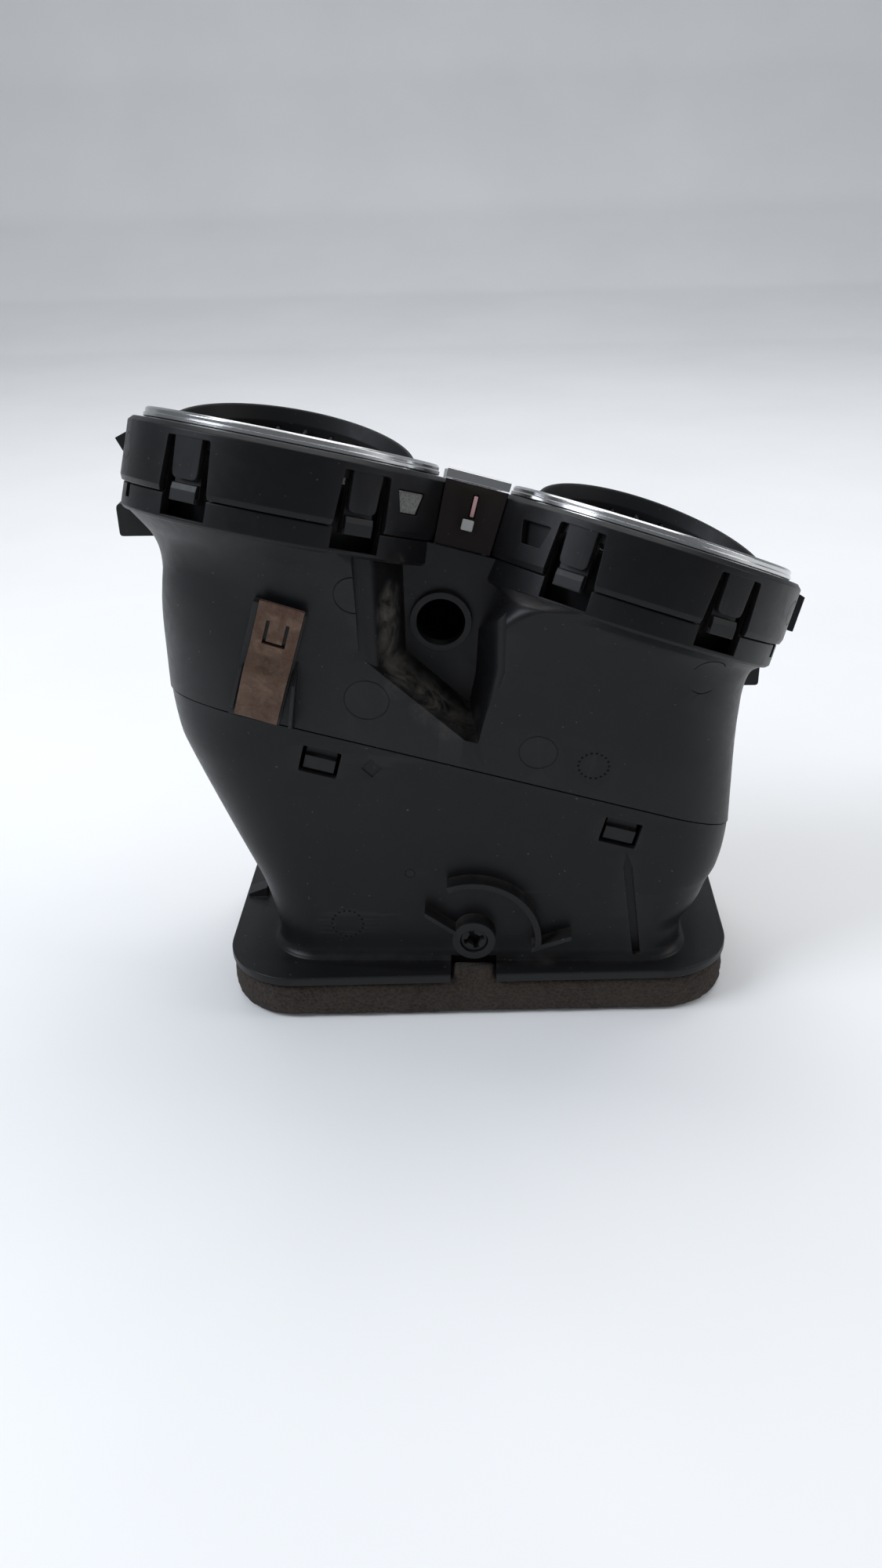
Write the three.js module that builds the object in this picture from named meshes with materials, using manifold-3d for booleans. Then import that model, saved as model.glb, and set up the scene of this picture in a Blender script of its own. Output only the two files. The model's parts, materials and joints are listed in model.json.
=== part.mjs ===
// A twin round air outlet for the middle of a car's dashboard, standing on the foam gasket of its inlet.
// Millimetres. +Z is up, +X is to the right of someone facing its front, and -Y is towards them.
import * as THREE from "three";
import { mergeVertices } from "three/addons/utils/BufferGeometryUtils.js";
import Module from "manifold-3d";

const wasm = await Module();
wasm.setup();

// ---------------------------------------------------------------- driving sizes
const GAP = 0.3; // between two pieces that touch
const WALL = 2; // housings
const REACH = 60; // how far a cutting tool runs past what it cuts
const ROUND_STEPS = 40; // facets round a barrel
const CORNER_STEPS = 6; // facets round a quarter of a duct

// Face of the outlet: both barrels stand round its centre, above the middle of the housing.
const FACE_HEIGHT = 143.6;
const FACE_TILT = 15.3; // degrees, downhill to the right
const FACE_LEAN = 15; // degrees, back from level
const BARREL_SPLAY = 3; // degrees that each barrel turns away from the other
const COLLAR_SPACING = 12.6; // between the two collars

// Collar and the spigot that it slips over
const COLLAR_RADIUS = 43;
const COLLAR_WALL = 1.8;
const COLLAR_HEIGHT = 16.4;
const COLLAR_LIP = 2; // thickness of the inward lip
const COLLAR_CHAMFER = 1.2;
const SPIGOT_WALL = 1.8;
const BAND_HEIGHT = 6.6;
const BAND_SETBACK = 1.1; // the band is this much smaller than the collar
const WINDOW = { width: 13.8, top: 2.8, tongueWidth: 7.6, tongueTip: 12.6 };
const WINDOW_ANGLES = { left: [-29, 32], right: [-33, 24] }; // from the front, anticlockwise from above
const LATCH = { height: 2.8, proud: 1.3, drop: 1.3, play: 0.2, root: 2.7 }; // on a tongue of the spigot
const VIEW_SLOT = { angle: 51.5, width: 10.4, top: 5, bottom: 10.8, taper: 1.9 };

// Trim ring
const RING_SETBACK = 3.6; // its edge to the collar's edge
const RING_WIDTH = 3.6;
const RING_HEIGHT = 2.6;
const RING_BEVEL = 0.8;
const RING_SKIRT = { wall: 1.2, depth: 5 };

// Swivelling nozzle
const BALL_CLEARANCE = 1;
const NOZZLE_HALF_HEIGHT = 12.2;
const NOZZLE_WALL = 4.4; // at its equator
const NOZZLE_FUNNEL = { depth: 3.8, flare: 1.2 };
const NOZZLE_TILT = 17; // degrees, parked with its far side up
const PIVOT_DEPTH = 10;
const TRUNNION_RADIUS = 2.5;
const BUSH_WALL = 2;

// Vanes, their link bar and the knob
const VANE_COUNT = 7;
const VANE_THICKNESS = 1.2;
const VANE_FRONT = 7.6; // from the vane's axis
const VANE_BACK = 7.4;
const VANE_SWING = 28; // degrees each way
const VANE_CLEARANCE = 0.5;
const VANE_PIN = { radius: 1, length: 2.6 };
const CRANK = 6.4; // link bar's pins to the vane's axis
const CRANK_PIN_RADIUS = 0.7;
const LINK_BAR = { width: 3, height: 3.4, slot: 2.4, end: 2.2 };
const KNOB = { width: 6, length: 11, height: 6.2, cover: 2.6 };

// Housing, outside
const SEAM_DEPTH = 71.2; // from the face to the joint between both housings
const MID_DEPTH = 46.6; // where each round duct has become a box
const HALF_DEPTH = 32; // front and back wall
const HOUSING_LEFT = -85.9;
const HOUSING_RIGHT = 73;
const DUCT_OVERLAP = 6; // each duct crosses the middle at the seam
const SEAM_CORNER = { left: 24, right: 18 };
const INNER_CORNER = 4; // of each duct, beside the other one
const NECK = {
  left: { setback: 11, shift: 1, depth: 30 },
  right: { setback: 8, shift: 2, depth: 26 },
};
const MID = { outerStep: { left: 1.6, right: 0 }, past: 9, frontStep: 4, backStep: 2, corner: 24 };
const BASE_LEVELS = [
  // height above the gasket's underside, how far each side wall has come in from the seam's width, and
  // its corner radius
  { height: 20, left: 26.8, right: 12.9, leftCorner: 12, rightCorner: 10 },
  { height: 24, left: 26, right: 12.7, leftCorner: 12, rightCorner: 11 },
  { height: 29, left: 24.9, right: 7.6, leftCorner: 13, rightCorner: 14 },
  { height: 35.5, left: 22.6, right: 4.9, leftCorner: 15, rightCorner: 16 },
  { height: 39, left: 20.9, right: 2.4, leftCorner: 16, rightCorner: 17 },
  { height: 46, left: 17.3, right: 0.7, leftCorner: 18, rightCorner: 18 },
  { height: 56, left: 11.8, right: 0, leftCorner: 22, rightCorner: 18 },
  { height: 72, left: 4.9, right: 0, leftCorner: 24, rightCorner: 18 },
  { height: 86, left: 0, right: 0, leftCorner: 24, rightCorner: 18 },
];
const BASE_INSET = { left: 27, right: 13.4, leftCorner: 12, rightCorner: 10 };

// Pocket between the ducts, through the housing: [x, height] of its corners, anticlockwise from the top left
const POCKET_MOUTH = [
  [-25.1, 150],
  [-25.1, 107.5],
  [-2.3, 85],
  [1.7, 84.1],
  [5.9, 107.4],
  [7, 150],
];
const POCKET_MIDDLE = [
  [-18.3, 150],
  [-18.3, 105.9],
  [-1.9, 90.6],
  [-1.3, 90.1],
  [0.6, 99.3],
  [4, 150],
];
const POCKET = { mouth: 4, rounding: 4, steps: 5, rightShare: 0.6 }; // mouth: outside the half depth

// Flange, gasket and inlet
const GASKET_HEIGHT = 11.7;
const GASKET_INSET = 0.6;
const FLANGE_THICKNESS = 2.8;
const FLANGE = { left: -74, right: 74.4, frontLeft: -43.6, frontRight: -39.2, back: 40, corner: 21 };
const FLANGE_NOTCH = { left: -7.4, right: 5.8 };
const NUB = { setback: 1, length: 6, width: 5, low: 1, high: 3.4 }; // wedge on the flange's left end
const INLET = { halfWidth: 51, corner: 10 };

// Shut-off flaps
const FLAP_AXIS = { x: -0.6, height: 23.5 };
const FLAP_OPEN = 16; // degrees from upright
const FLAP_LAP = 1.5; // that its free edge lies on the sill of the inlet
const FLAP_CORNER = 8;
const FLAP_THICKNESS = 1.8;
const FLAP_HUB_RADIUS = 3.8;
const FLAP_CLEARANCE = 0.5;
const SEAL_THICKNESS = 1.2;
const SEAL_BOTTOM = 32; // from the flap's axis
const SPINDLE = { radius: 3.7, proud: 4.2, tenon: 4.2, tenonLength: 7, key: 1.5 };
const JOINING_PIN = { radius: 1.5, half: 8 };
const BOSS = { radius: 6.2, proud: 5 };
const GUARD = { radius: 17.6, width: 1.8, from: -9, to: 113 };
const FIN_THICKNESS = 1.5;
const LEFT_FIN = { reach: 14, low: 1.6, high: 8.2 };
const RIGHT_FIN = { reach: 28, low: -4, high: 0.2 };

const GROOVE = { width: 2.3, depth: 1.2, top: 50.4, topX: 42.2, footX: 46.6 };

// Snap joints between both housings
const SNAP = { width: 10.6, top: 4.4, bottom: 12.2, tongue: 14, blade: 1.6, play: 1, places: [-39.8, 42.6] };

// Bridge between the barrels
const BRIDGE = { halfLength: 14, below: 0.2, wall: 2, lift: 2.1, stripHeight: 2.5 };
const LIGHT_GUIDE = { x: 0.4, width: 1, top: -0.6, bottom: -6, depth: 6 };
const GUIDE_BLOCK = { width: 3, height: 2.8, proud: 2.2 };
const WEB = { front: -18, back: 14, thickness: 2, left: -30, right: 24 };
const WEB_HOLE = { x: -8.6, height: 114.4, radius: 6.5, rim: 1.8 };

// Spring clip on the left duct
const CLIP = {
  x: -52.2,
  proud: 3.2,
  height: 110.6,
  lean: 10,
  turn: 18,
  width: 11.6,
  thickness: 0.9,
  play: 0.6,
};
const CLIP_TOP = 17.6;
const CLIP_BOTTOM = -18.6;
const CLIP_BULGE = 3.2;
const CLIP_RIB = { width: 1, proud: 2.4, finProud: 5.2, finTurn: -9, seatTop: 1.5 };

// Lugs behind the band
const LUG = { front: 6, back: 22, left: [-99.5, 131.3, 140.6], right: [82.6, 84.3, 91.4] };

// ---------------------------------------------------------------- sizes that follow
const rad = THREE.MathUtils.degToRad;
const SIDES = { left: -1, right: 1 };
const BARREL_PITCH = 2 * COLLAR_RADIUS + COLLAR_SPACING;
const COLLAR_BORE = COLLAR_RADIUS - COLLAR_WALL;
const SPIGOT_RADIUS = COLLAR_BORE - GAP;
const SPIGOT_BORE = SPIGOT_RADIUS - SPIGOT_WALL;
const BAND_RADIUS = COLLAR_RADIUS - BAND_SETBACK;
const BAND_TOP = COLLAR_HEIGHT + GAP;
const BAND_BOTTOM = BAND_TOP + BAND_HEIGHT;
const RING_RADIUS = COLLAR_RADIUS - RING_SETBACK;
const RING_BORE = RING_RADIUS - RING_WIDTH;
const SKIRT_RADIUS = RING_BORE + RING_WIDTH / 2;
const BALL_RADIUS = RING_BORE - BALL_CLEARANCE;
const NOZZLE_BORE = BALL_RADIUS - NOZZLE_WALL;
const BEARING_INNER = BALL_RADIUS + 0.7;
const BEARING_OUTER = SPIGOT_BORE - 3 * GAP;
const BUSH_RADIUS = TRUNNION_RADIUS + GAP + BUSH_WALL;
const VANE_SPACING = (2 * NOZZLE_BORE) / (VANE_COUNT + 1);
const FLANGE_BOTTOM = GASKET_HEIGHT + GAP;
const FLANGE_TOP = FLANGE_BOTTOM + FLANGE_THICKNESS;
const FLAP_HALF_WIDTH = HALF_DEPTH - WALL - GAP - SNAP.blade - FLAP_CLEARANCE;
const FLAP_LENGTH = INLET.halfWidth + FLAP_LAP;
const BRIDGE_BOTTOM = BRIDGE.lift - COLLAR_HEIGHT - BRIDGE.below;
const faceCentre = new THREE.Vector3(0, 0, FACE_HEIGHT);

// ---------------------------------------------------------------- solids
// A closed three.js geometry as a manifold solid with its faces pointing out.
function solid(geometry) {
  const bare = geometry.clone();
  bare.deleteAttribute("normal");
  bare.deleteAttribute("uv");
  const merged = mergeVertices(bare, 1e-4);
  const corners = merged.attributes.position;
  const faces = [];
  let volume = 0;
  const [a, b, c] = [new THREE.Vector3(), new THREE.Vector3(), new THREE.Vector3()];
  for (let i = 0; i < merged.index.count; i += 3) {
    const face = [0, 1, 2].map((k) => merged.index.getX(i + k));
    if (new Set(face).size < 3) continue;
    a.fromBufferAttribute(corners, face[0]);
    b.fromBufferAttribute(corners, face[1]);
    c.fromBufferAttribute(corners, face[2]);
    volume += a.dot(b.cross(c));
    faces.push(face);
  }
  const triVerts = new Uint32Array(faces.flatMap((f) => (volume < 0 ? f.toReversed() : f)));
  return new wasm.Manifold(
    new wasm.Mesh({ numProp: 3, vertProperties: corners.array, triVerts }),
  );
}

function placed(shape, matrix) {
  return shape.transform(matrix.elements);
}

function unite(...shapes) {
  return shapes.flat().reduce((sum, shape) => sum.add(shape));
}

function cut(shape, ...tools) {
  return tools.flat().reduce((rest, tool) => rest.subtract(tool), shape);
}

function box([x0, x1], [y0, y1], [z0, z1]) {
  const block = new THREE.BoxGeometry(x1 - x0, y1 - y0, z1 - z0);
  return solid(block.translate((x0 + x1) / 2, (y0 + y1) / 2, (z0 + z1) / 2));
}

// A cylinder along Z.
function rod(radius, z0, z1, steps = 16) {
  const geometry = new THREE.CylinderGeometry(radius, radius, z1 - z0, steps).rotateX(Math.PI / 2);
  return solid(geometry.translate(0, 0, (z0 + z1) / 2));
}

// A cylinder along X or Y.
function rodAlong(axis, radius, from, to, steps = 16) {
  const turn = axis === "x" ? matrix({ turnY: 90 }) : matrix({ turnX: -90 });
  return placed(rod(radius, from, to, steps), turn);
}

// A closed [radius, z] outline turned round Z.
function lathe(outline, steps = ROUND_STEPS) {
  const points = [...outline, outline[0]].map(([r, z]) => new THREE.Vector2(r, z));
  return solid(new THREE.LatheGeometry(points, steps).rotateX(Math.PI / 2));
}

// An [x, y] outline, or a THREE.Shape, raised from z0 to z1.
function prism(outline, z0, z1, curveSegments = 8) {
  const shape = Array.isArray(outline)
    ? new THREE.Shape(outline.map(([x, y]) => new THREE.Vector2(x, y)))
    : outline;
  const settings = { depth: z1 - z0, bevelEnabled: false, curveSegments };
  return solid(new THREE.ExtrudeGeometry(shape, settings).translate(0, 0, z0));
}

// An [x, z] outline that runs from y0 to y1.
function prismAlongY(outline, y0, y1, curveSegments) {
  return placed(prism(outline, -y1, -y0, curveSegments), matrix({ turnX: 90 }));
}

function matrix({ at = [0, 0, 0], turnX = 0, turnY = 0, turnZ = 0 }) {
  const turn = new THREE.Euler(rad(turnX), rad(turnY), rad(turnZ), "YXZ");
  const place = new THREE.Vector3(...at);
  const one = new THREE.Vector3(1, 1, 1);
  return new THREE.Matrix4().compose(place, new THREE.Quaternion().setFromEuler(turn), one);
}

// Stands an [x, y] outline up, so that its x runs along Y, its y along Z and its height along X.
const upright = matrix({ turnX: 90 }).premultiply(matrix({ turnZ: 90 }));

// A skin over rings that hold equally many points, closed by a fan at each end.
function loft(rings) {
  const count = rings[0].length;
  const points = rings.flat();
  const faces = [];
  for (let ring = 0; ring < rings.length - 1; ring++) {
    for (let i = 0; i < count; i++) {
      const j = (i + 1) % count;
      const [low, high] = [ring * count, (ring + 1) * count];
      faces.push(low + i, low + j, high + i, low + j, high + j, high + i);
    }
  }
  for (const first of [0, (rings.length - 1) * count]) {
    const middle = new THREE.Vector3();
    for (let i = 0; i < count; i++) middle.addScaledVector(points[first + i], 1 / count);
    const centre = points.push(middle) - 1;
    for (let i = 0; i < count; i++) {
      const [here, next] = [first + i, first + ((i + 1) % count)];
      faces.push(...(first === 0 ? [centre, next, here] : [centre, here, next]));
    }
  }
  const geometry = new THREE.BufferGeometry().setFromPoints(points);
  geometry.setIndex(faces);
  return solid(geometry);
}

// The points of a rectangle with round corners, each lifted into space by lift(x, y).
// corner is one radius, or those of the right back, left back, left front and right front.
function roundedRing({ x0, x1, y0, y1, corner }, lift, inset = 0) {
  const ring = [];
  for (let quarter = 0; quarter < 4; quarter++) {
    const full = Array.isArray(corner) ? corner[quarter] : corner;
    const radius = full - inset;
    const cx = quarter === 0 || quarter === 3 ? x1 - full : x0 + full;
    const cy = quarter < 2 ? y1 - full : y0 + full;
    for (let step = 0; step < CORNER_STEPS; step++) {
      const angle = (Math.PI / 2) * (quarter + (step + 0.5) / CORNER_STEPS);
      ring.push(lift(cx + radius * Math.cos(angle), cy + radius * Math.sin(angle)));
    }
  }
  return ring;
}

function circleRing(radius, lift) {
  return roundedRing({ x0: -radius, x1: radius, y0: -radius, y1: radius, corner: radius }, lift);
}

// ---------------------------------------------------------------- frames
const faceFrame = matrix({ at: faceCentre.toArray(), turnX: -FACE_LEAN, turnY: FACE_TILT });
const faceNormal = new THREE.Vector3(0, 0, 1).transformDirection(faceFrame);

// Origin in the plane of a collar's top, X along the row of barrels, Z out of the barrel.
function barrelFrame(side) {
  const tilt = new THREE.Euler(0, rad(FACE_TILT), 0);
  const along = new THREE.Vector3(BARREL_PITCH / 2, 0, 0).applyEuler(tilt);
  const at = faceCentre.clone().addScaledVector(along, SIDES[side]);
  return matrix({ at: at.toArray(), turnX: -FACE_LEAN, turnY: FACE_TILT + SIDES[side] * BARREL_SPLAY });
}

const frames = { left: barrelFrame("left"), right: barrelFrame("right") };

// Height of the plane that lies depth below the face, over the point x, y.
function planeHeight(depth, x, y) {
  const along = faceNormal.x * x + faceNormal.y * y;
  return FACE_HEIGHT - (depth + along) / faceNormal.z;
}

function onPlane(depth) {
  return (x, y) => new THREE.Vector3(x, y, planeHeight(depth, x, y));
}

function inBarrel(side, depth) {
  return (x, y) => new THREE.Vector3(x, y, -depth).applyMatrix4(frames[side]);
}

// Turns a tool made on the +X side round the barrel; 0 degrees is the barrel's front.
function roundBarrel(shape, angle) {
  return placed(shape, matrix({ turnZ: angle - 90 }));
}

function windowAngles(side) {
  const front = WINDOW_ANGLES[side];
  return [...front, ...front.map((angle) => 180 - angle)];
}

// ---------------------------------------------------------------- barrels
function collar(side) {
  const wall = lathe([
    [SKIRT_RADIUS + GAP, 0],
    [COLLAR_RADIUS - COLLAR_CHAMFER, 0],
    [COLLAR_RADIUS, -COLLAR_CHAMFER],
    [COLLAR_RADIUS, -COLLAR_HEIGHT],
    [COLLAR_BORE, -COLLAR_HEIGHT],
    [COLLAR_BORE, -COLLAR_LIP],
    [SKIRT_RADIUS + GAP, -COLLAR_LIP],
  ]);
  const radial = [COLLAR_BORE - COLLAR_WALL, COLLAR_RADIUS + COLLAR_WALL];
  const half = WINDOW.width / 2;
  const opening = box(radial, [-half, half], [-COLLAR_HEIGHT - 1, -WINDOW.top]);
  const tongueHalf = WINDOW.tongueWidth / 2;
  const tongueBox = box(radial, [-tongueHalf, tongueHalf], [-WINDOW.tongueTip, -COLLAR_LIP]);
  const angles = windowAngles(side);
  const openings = angles.map((angle) => roundBarrel(opening, angle));
  const tongues = angles.map((angle) => wall.intersect(roundBarrel(tongueBox, angle)));
  const slot = roundBarrel(viewSlot(0, radial), -SIDES[side] * VIEW_SLOT.angle);
  return cut(unite(cut(wall, openings), tongues, snapRamp(side)), slot);
}

// The trapezoid that is cut through a collar beside the bridge.
function viewSlot(inset, radial) {
  const { width, top, bottom, taper } = VIEW_SLOT;
  const [wide, narrow] = [width / 2 - inset, width / 2 - taper - inset];
  const outline = [
    [-narrow, -bottom + inset],
    [narrow, -bottom + inset],
    [wide, -top - inset],
    [-wide, -top - inset],
  ];
  return placed(prism(outline, ...radial), upright);
}

// The hook at a collar's outer end: a wedge on the left, a bar on the right.
function snapRamp(side) {
  const inner = COLLAR_RADIUS - 1;
  const tip = COLLAR_RADIUS + 3;
  const outlines = {
    left: [
      [inner, -3.4],
      [inner, -10],
      [COLLAR_RADIUS, -10],
      [tip, -6.6],
    ],
    right: [
      [inner, -1.6],
      [inner, -4.6],
      [tip - 1.6, -5.6],
      [tip - 1.6, -12.4],
      [tip, -12.4],
      [tip, -2.6],
    ],
  };
  const wedge = prismAlongY(outlines[side], -3.5, 3.5);
  return placed(wedge, matrix({ turnZ: side === "left" ? 180 : 0 }));
}

function trimRing() {
  const skirt = SKIRT_RADIUS - RING_SKIRT.wall;
  const top = GAP + RING_HEIGHT;
  return lathe([
    [RING_BORE, GAP],
    [skirt, GAP],
    [skirt, -RING_SKIRT.depth],
    [SKIRT_RADIUS, -RING_SKIRT.depth],
    [SKIRT_RADIUS, GAP],
    [RING_RADIUS, GAP],
    [RING_RADIUS, top - RING_BEVEL],
    [RING_RADIUS - RING_BEVEL, top],
    [RING_BORE + RING_BEVEL, top],
    [RING_BORE, top - RING_BEVEL],
  ]);
}

// A grey pad that fills the collar's trapezoid.
function viewPad() {
  const radial = [COLLAR_BORE, COLLAR_RADIUS - 0.7];
  return roundBarrel(viewSlot(GAP, radial), VIEW_SLOT.angle);
}

// ---------------------------------------------------------------- nozzle, about the middle of its ball
function nozzle() {
  const half = NOZZLE_HALF_HEIGHT;
  const outline = [];
  const reach = Math.asin(half / BALL_RADIUS);
  const steps = 6;
  for (let i = 0; i <= steps; i++) {
    const angle = -reach + (2 * reach * i) / steps;
    outline.push([BALL_RADIUS * Math.cos(angle), BALL_RADIUS * Math.sin(angle)]);
  }
  outline.push([NOZZLE_BORE + NOZZLE_FUNNEL.flare, half]);
  outline.push([NOZZLE_BORE, half - NOZZLE_FUNNEL.depth]);
  outline.push([NOZZLE_BORE, -half]);
  const ends = [-1, 1].map((end) => {
    const root = end * (BALL_RADIUS - 1);
    const tip = end * (BEARING_OUTER - GAP);
    return rodAlong("x", TRUNNION_RADIUS, Math.min(root, tip), Math.max(root, tip));
  });
  const holes = vanePlaces().flatMap((x) => {
    const wall = Math.sqrt(NOZZLE_BORE ** 2 - x ** 2);
    const hole = rodAlong("y", VANE_PIN.radius + GAP, -3 * VANE_PIN.radius, VANE_PIN.length + GAP, 10);
    const far = placed(hole, matrix({ at: [x, wall, 0] }));
    return [far, placed(far, matrix({ turnZ: 180 }))];
  });
  return cut(unite(lathe(outline), ends), holes);
}

function vanePlaces() {
  return Array.from({ length: VANE_COUNT }, (_, i) => (i - (VANE_COUNT - 1) / 2) * VANE_SPACING);
}

// Half the length of a vane at the distance s from its axis, so that it clears the bore at full swing.
function vaneHalfLength(x, s) {
  const swept = Math.abs(x) + Math.abs(s) * Math.sin(rad(VANE_SWING)) + VANE_THICKNESS / 2;
  return Math.sqrt(NOZZLE_BORE ** 2 - swept ** 2) - VANE_CLEARANCE;
}

// A vane about its own axis, which runs along Y; x says where it stands in the nozzle.
function vane(x) {
  const heights = [-VANE_BACK, -VANE_BACK / 2, 0, VANE_FRONT / 2, VANE_FRONT];
  const far = heights.map((s) => [vaneHalfLength(x, s), s]);
  const near = heights.map((s) => [-vaneHalfLength(x, s), s]).toReversed();
  const half = VANE_THICKNESS / 2;
  const plate = placed(prism([...far, ...near], -half, half), upright);
  const pinEnd = Math.sqrt(NOZZLE_BORE ** 2 - x ** 2) + VANE_PIN.length - GAP;
  const pin = rodAlong("y", VANE_PIN.radius, -pinEnd, pinEnd, 8);
  const notchHalf = LINK_BAR.width / 2 + 2 * GAP;
  const notch = box([-1, 1], [-notchHalf, notchHalf], [-VANE_BACK - 1, -CRANK + 2.3]);
  const reach = notchHalf + 1;
  const crank = matrix({ at: [0, 0, -CRANK] });
  const crankPin = placed(rodAlong("y", CRANK_PIN_RADIUS, -reach, reach, 8), crank);
  return unite(cut(unite(plate, pin), notch), crankPin);
}

// The bar that makes the vanes turn together, about the nozzle's middle.
function linkBar() {
  const places = vanePlaces();
  const end = places.at(-1) + LINK_BAR.slot / 2 + LINK_BAR.end;
  const half = LINK_BAR.width / 2;
  const top = -CRANK + 1.2;
  const bar = box([-end, end], [-half, half], [top - LINK_BAR.height, top]);
  const slotHalf = LINK_BAR.slot / 2;
  const slotBottom = -CRANK - CRANK_PIN_RADIUS - GAP;
  const upwards = [slotBottom, REACH];
  const slots = places.map((x) => box([x - slotHalf, x + slotHalf], [-REACH, REACH], upwards));
  return cut(bar, slots);
}

// The grip on the front edge of the middle vane.
function knob() {
  const { width, length, height, cover } = KNOB;
  const bottom = VANE_FRONT - cover;
  const edge = 1.2;
  const outline = [
    [-width / 2 + edge, bottom],
    [width / 2 - edge, bottom],
    [width / 2, bottom + edge],
    [width / 2 - edge, bottom + height],
    [-width / 2 + edge, bottom + height],
    [-width / 2, bottom + edge],
  ];
  const slotHalf = VANE_THICKNESS / 2 + GAP;
  const slot = box([-slotHalf, slotHalf], [-REACH, REACH], [-REACH, VANE_FRONT + GAP]);
  return cut(prismAlongY(outline, -length / 2, length / 2), slot);
}

// A friction bush on one trunnion, along X.
function bush() {
  const body = rodAlong("x", BUSH_RADIUS, BEARING_INNER, BEARING_OUTER);
  return cut(body, rodAlong("x", TRUNNION_RADIUS + GAP, 0, REACH));
}

// ---------------------------------------------------------------- upper housing
// Radii for a ring's four corners, with those beside the other duct different.
function cornerRadii(side, outer) {
  const inner = INNER_CORNER;
  return side === "left" ? [inner, outer, outer, inner] : [outer, inner, inner, outer];
}

function ductRings(side, inset) {
  const wide = side === "left" ? HOUSING_LEFT : HOUSING_RIGHT;
  const front = -HALF_DEPTH - MID.frontStep;
  const back = HALF_DEPTH - MID.backStep;
  const past = -SIDES[side];
  const seamCorners = cornerRadii(side, SEAM_CORNER[side]);
  const seam = span(wide, past * DUCT_OVERLAP, -HALF_DEPTH, HALF_DEPTH, seamCorners);
  const outer = wide + past * MID.outerStep[side];
  const middle = span(outer, past * MID.past, front, back, cornerRadii(side, MID.corner));
  const { setback, shift, depth } = NECK[side];
  const radius = COLLAR_RADIUS - setback;
  const neck = span(shift - radius, shift + radius, -radius, radius, cornerRadii(side, radius));
  const seamDepth = inset > 0 ? SEAM_DEPTH + 1 : SEAM_DEPTH - GAP / 2;
  const mouth = inset > 0 ? SPIGOT_BORE : BAND_RADIUS - 0.4;
  const mouthDepth = BAND_BOTTOM - 1;
  return [
    roundedRing(seam, onPlane(seamDepth), inset),
    roundedRing(middle, onPlane(MID_DEPTH), inset),
    roundedRing(neck, inBarrel(side, depth), inset),
    circleRing(mouth, inBarrel(side, mouthDepth)),
  ];
}

// An anticlockwise outline of [x, height] points with every side moved outwards.
function grown(outline, by) {
  const count = outline.length;
  const sides = outline.map(([x, z], i) => {
    const [nextX, nextZ] = outline[(i + 1) % count];
    const length = Math.hypot(nextX - x, nextZ - z);
    return [(nextX - x) / length, (nextZ - z) / length];
  });
  return outline.map(([x, z], i) => {
    const [ax, az] = sides[(i + count - 1) % count];
    const [bx, bz] = sides[i];
    const reach = by / (1 + ax * bx + az * bz);
    return [x + (az + bz) * reach, z - (ax + bx) * reach];
  });
}

// The pocket's outline at one place, with its side walls rounded off towards the mouth.
function pocketOutline(share, rounded, inset) {
  const plain = POCKET_MIDDLE.map(([x, z], i) => {
    const [mouthX, mouthZ] = POCKET_MOUTH[i];
    return [x + (mouthX - x) * share, z + (mouthZ - z) * share];
  });
  const [, low, foot] = plain;
  const slope = (foot[1] - low[1]) / (foot[0] - low[0]);
  const away = [-1, -1, 0, 0, POCKET.rightShare, POCKET.rightShare];
  const eased = plain.map(([x, z], i) => [x + rounded * away[i], i === 1 ? z - rounded * slope : z]);
  return grown(eased, inset);
}

function pocket(inset) {
  const mouth = HALF_DEPTH + POCKET.mouth;
  const places = [
    { y: WEB.back, share: 0, rounded: 0 },
    { y: mouth - POCKET.rounding, share: 1 - POCKET.rounding / (mouth - WEB.back), rounded: 0 },
  ];
  for (let step = 1; step <= POCKET.steps; step++) {
    const angle = (Math.PI / 2) * (step / POCKET.steps);
    const y = mouth - POCKET.rounding * (1 - Math.sin(angle));
    const share = (y - WEB.back) / (mouth - WEB.back);
    places.push({ y, share, rounded: POCKET.rounding * (1 - Math.cos(angle)) });
  }
  places.push({ y: REACH, share: 1, rounded: POCKET.rounding });
  const stretch = (mouth + WEB.front) / (mouth - WEB.back);
  const front = places.map((place) => {
    const y = place.y === REACH ? -REACH : WEB.front - (place.y - WEB.back) * stretch;
    return { ...place, y };
  });
  const rings = [...front.reverse(), ...places].map(({ y, share, rounded }) =>
    pocketOutline(share, rounded, inset).map(([x, z]) => new THREE.Vector3(x, y, z)),
  );
  return loft(rings);
}

function span(a, b, y0, y1, corner) {
  return { x0: Math.min(a, b), x1: Math.max(a, b), y0, y1, corner };
}

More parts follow.
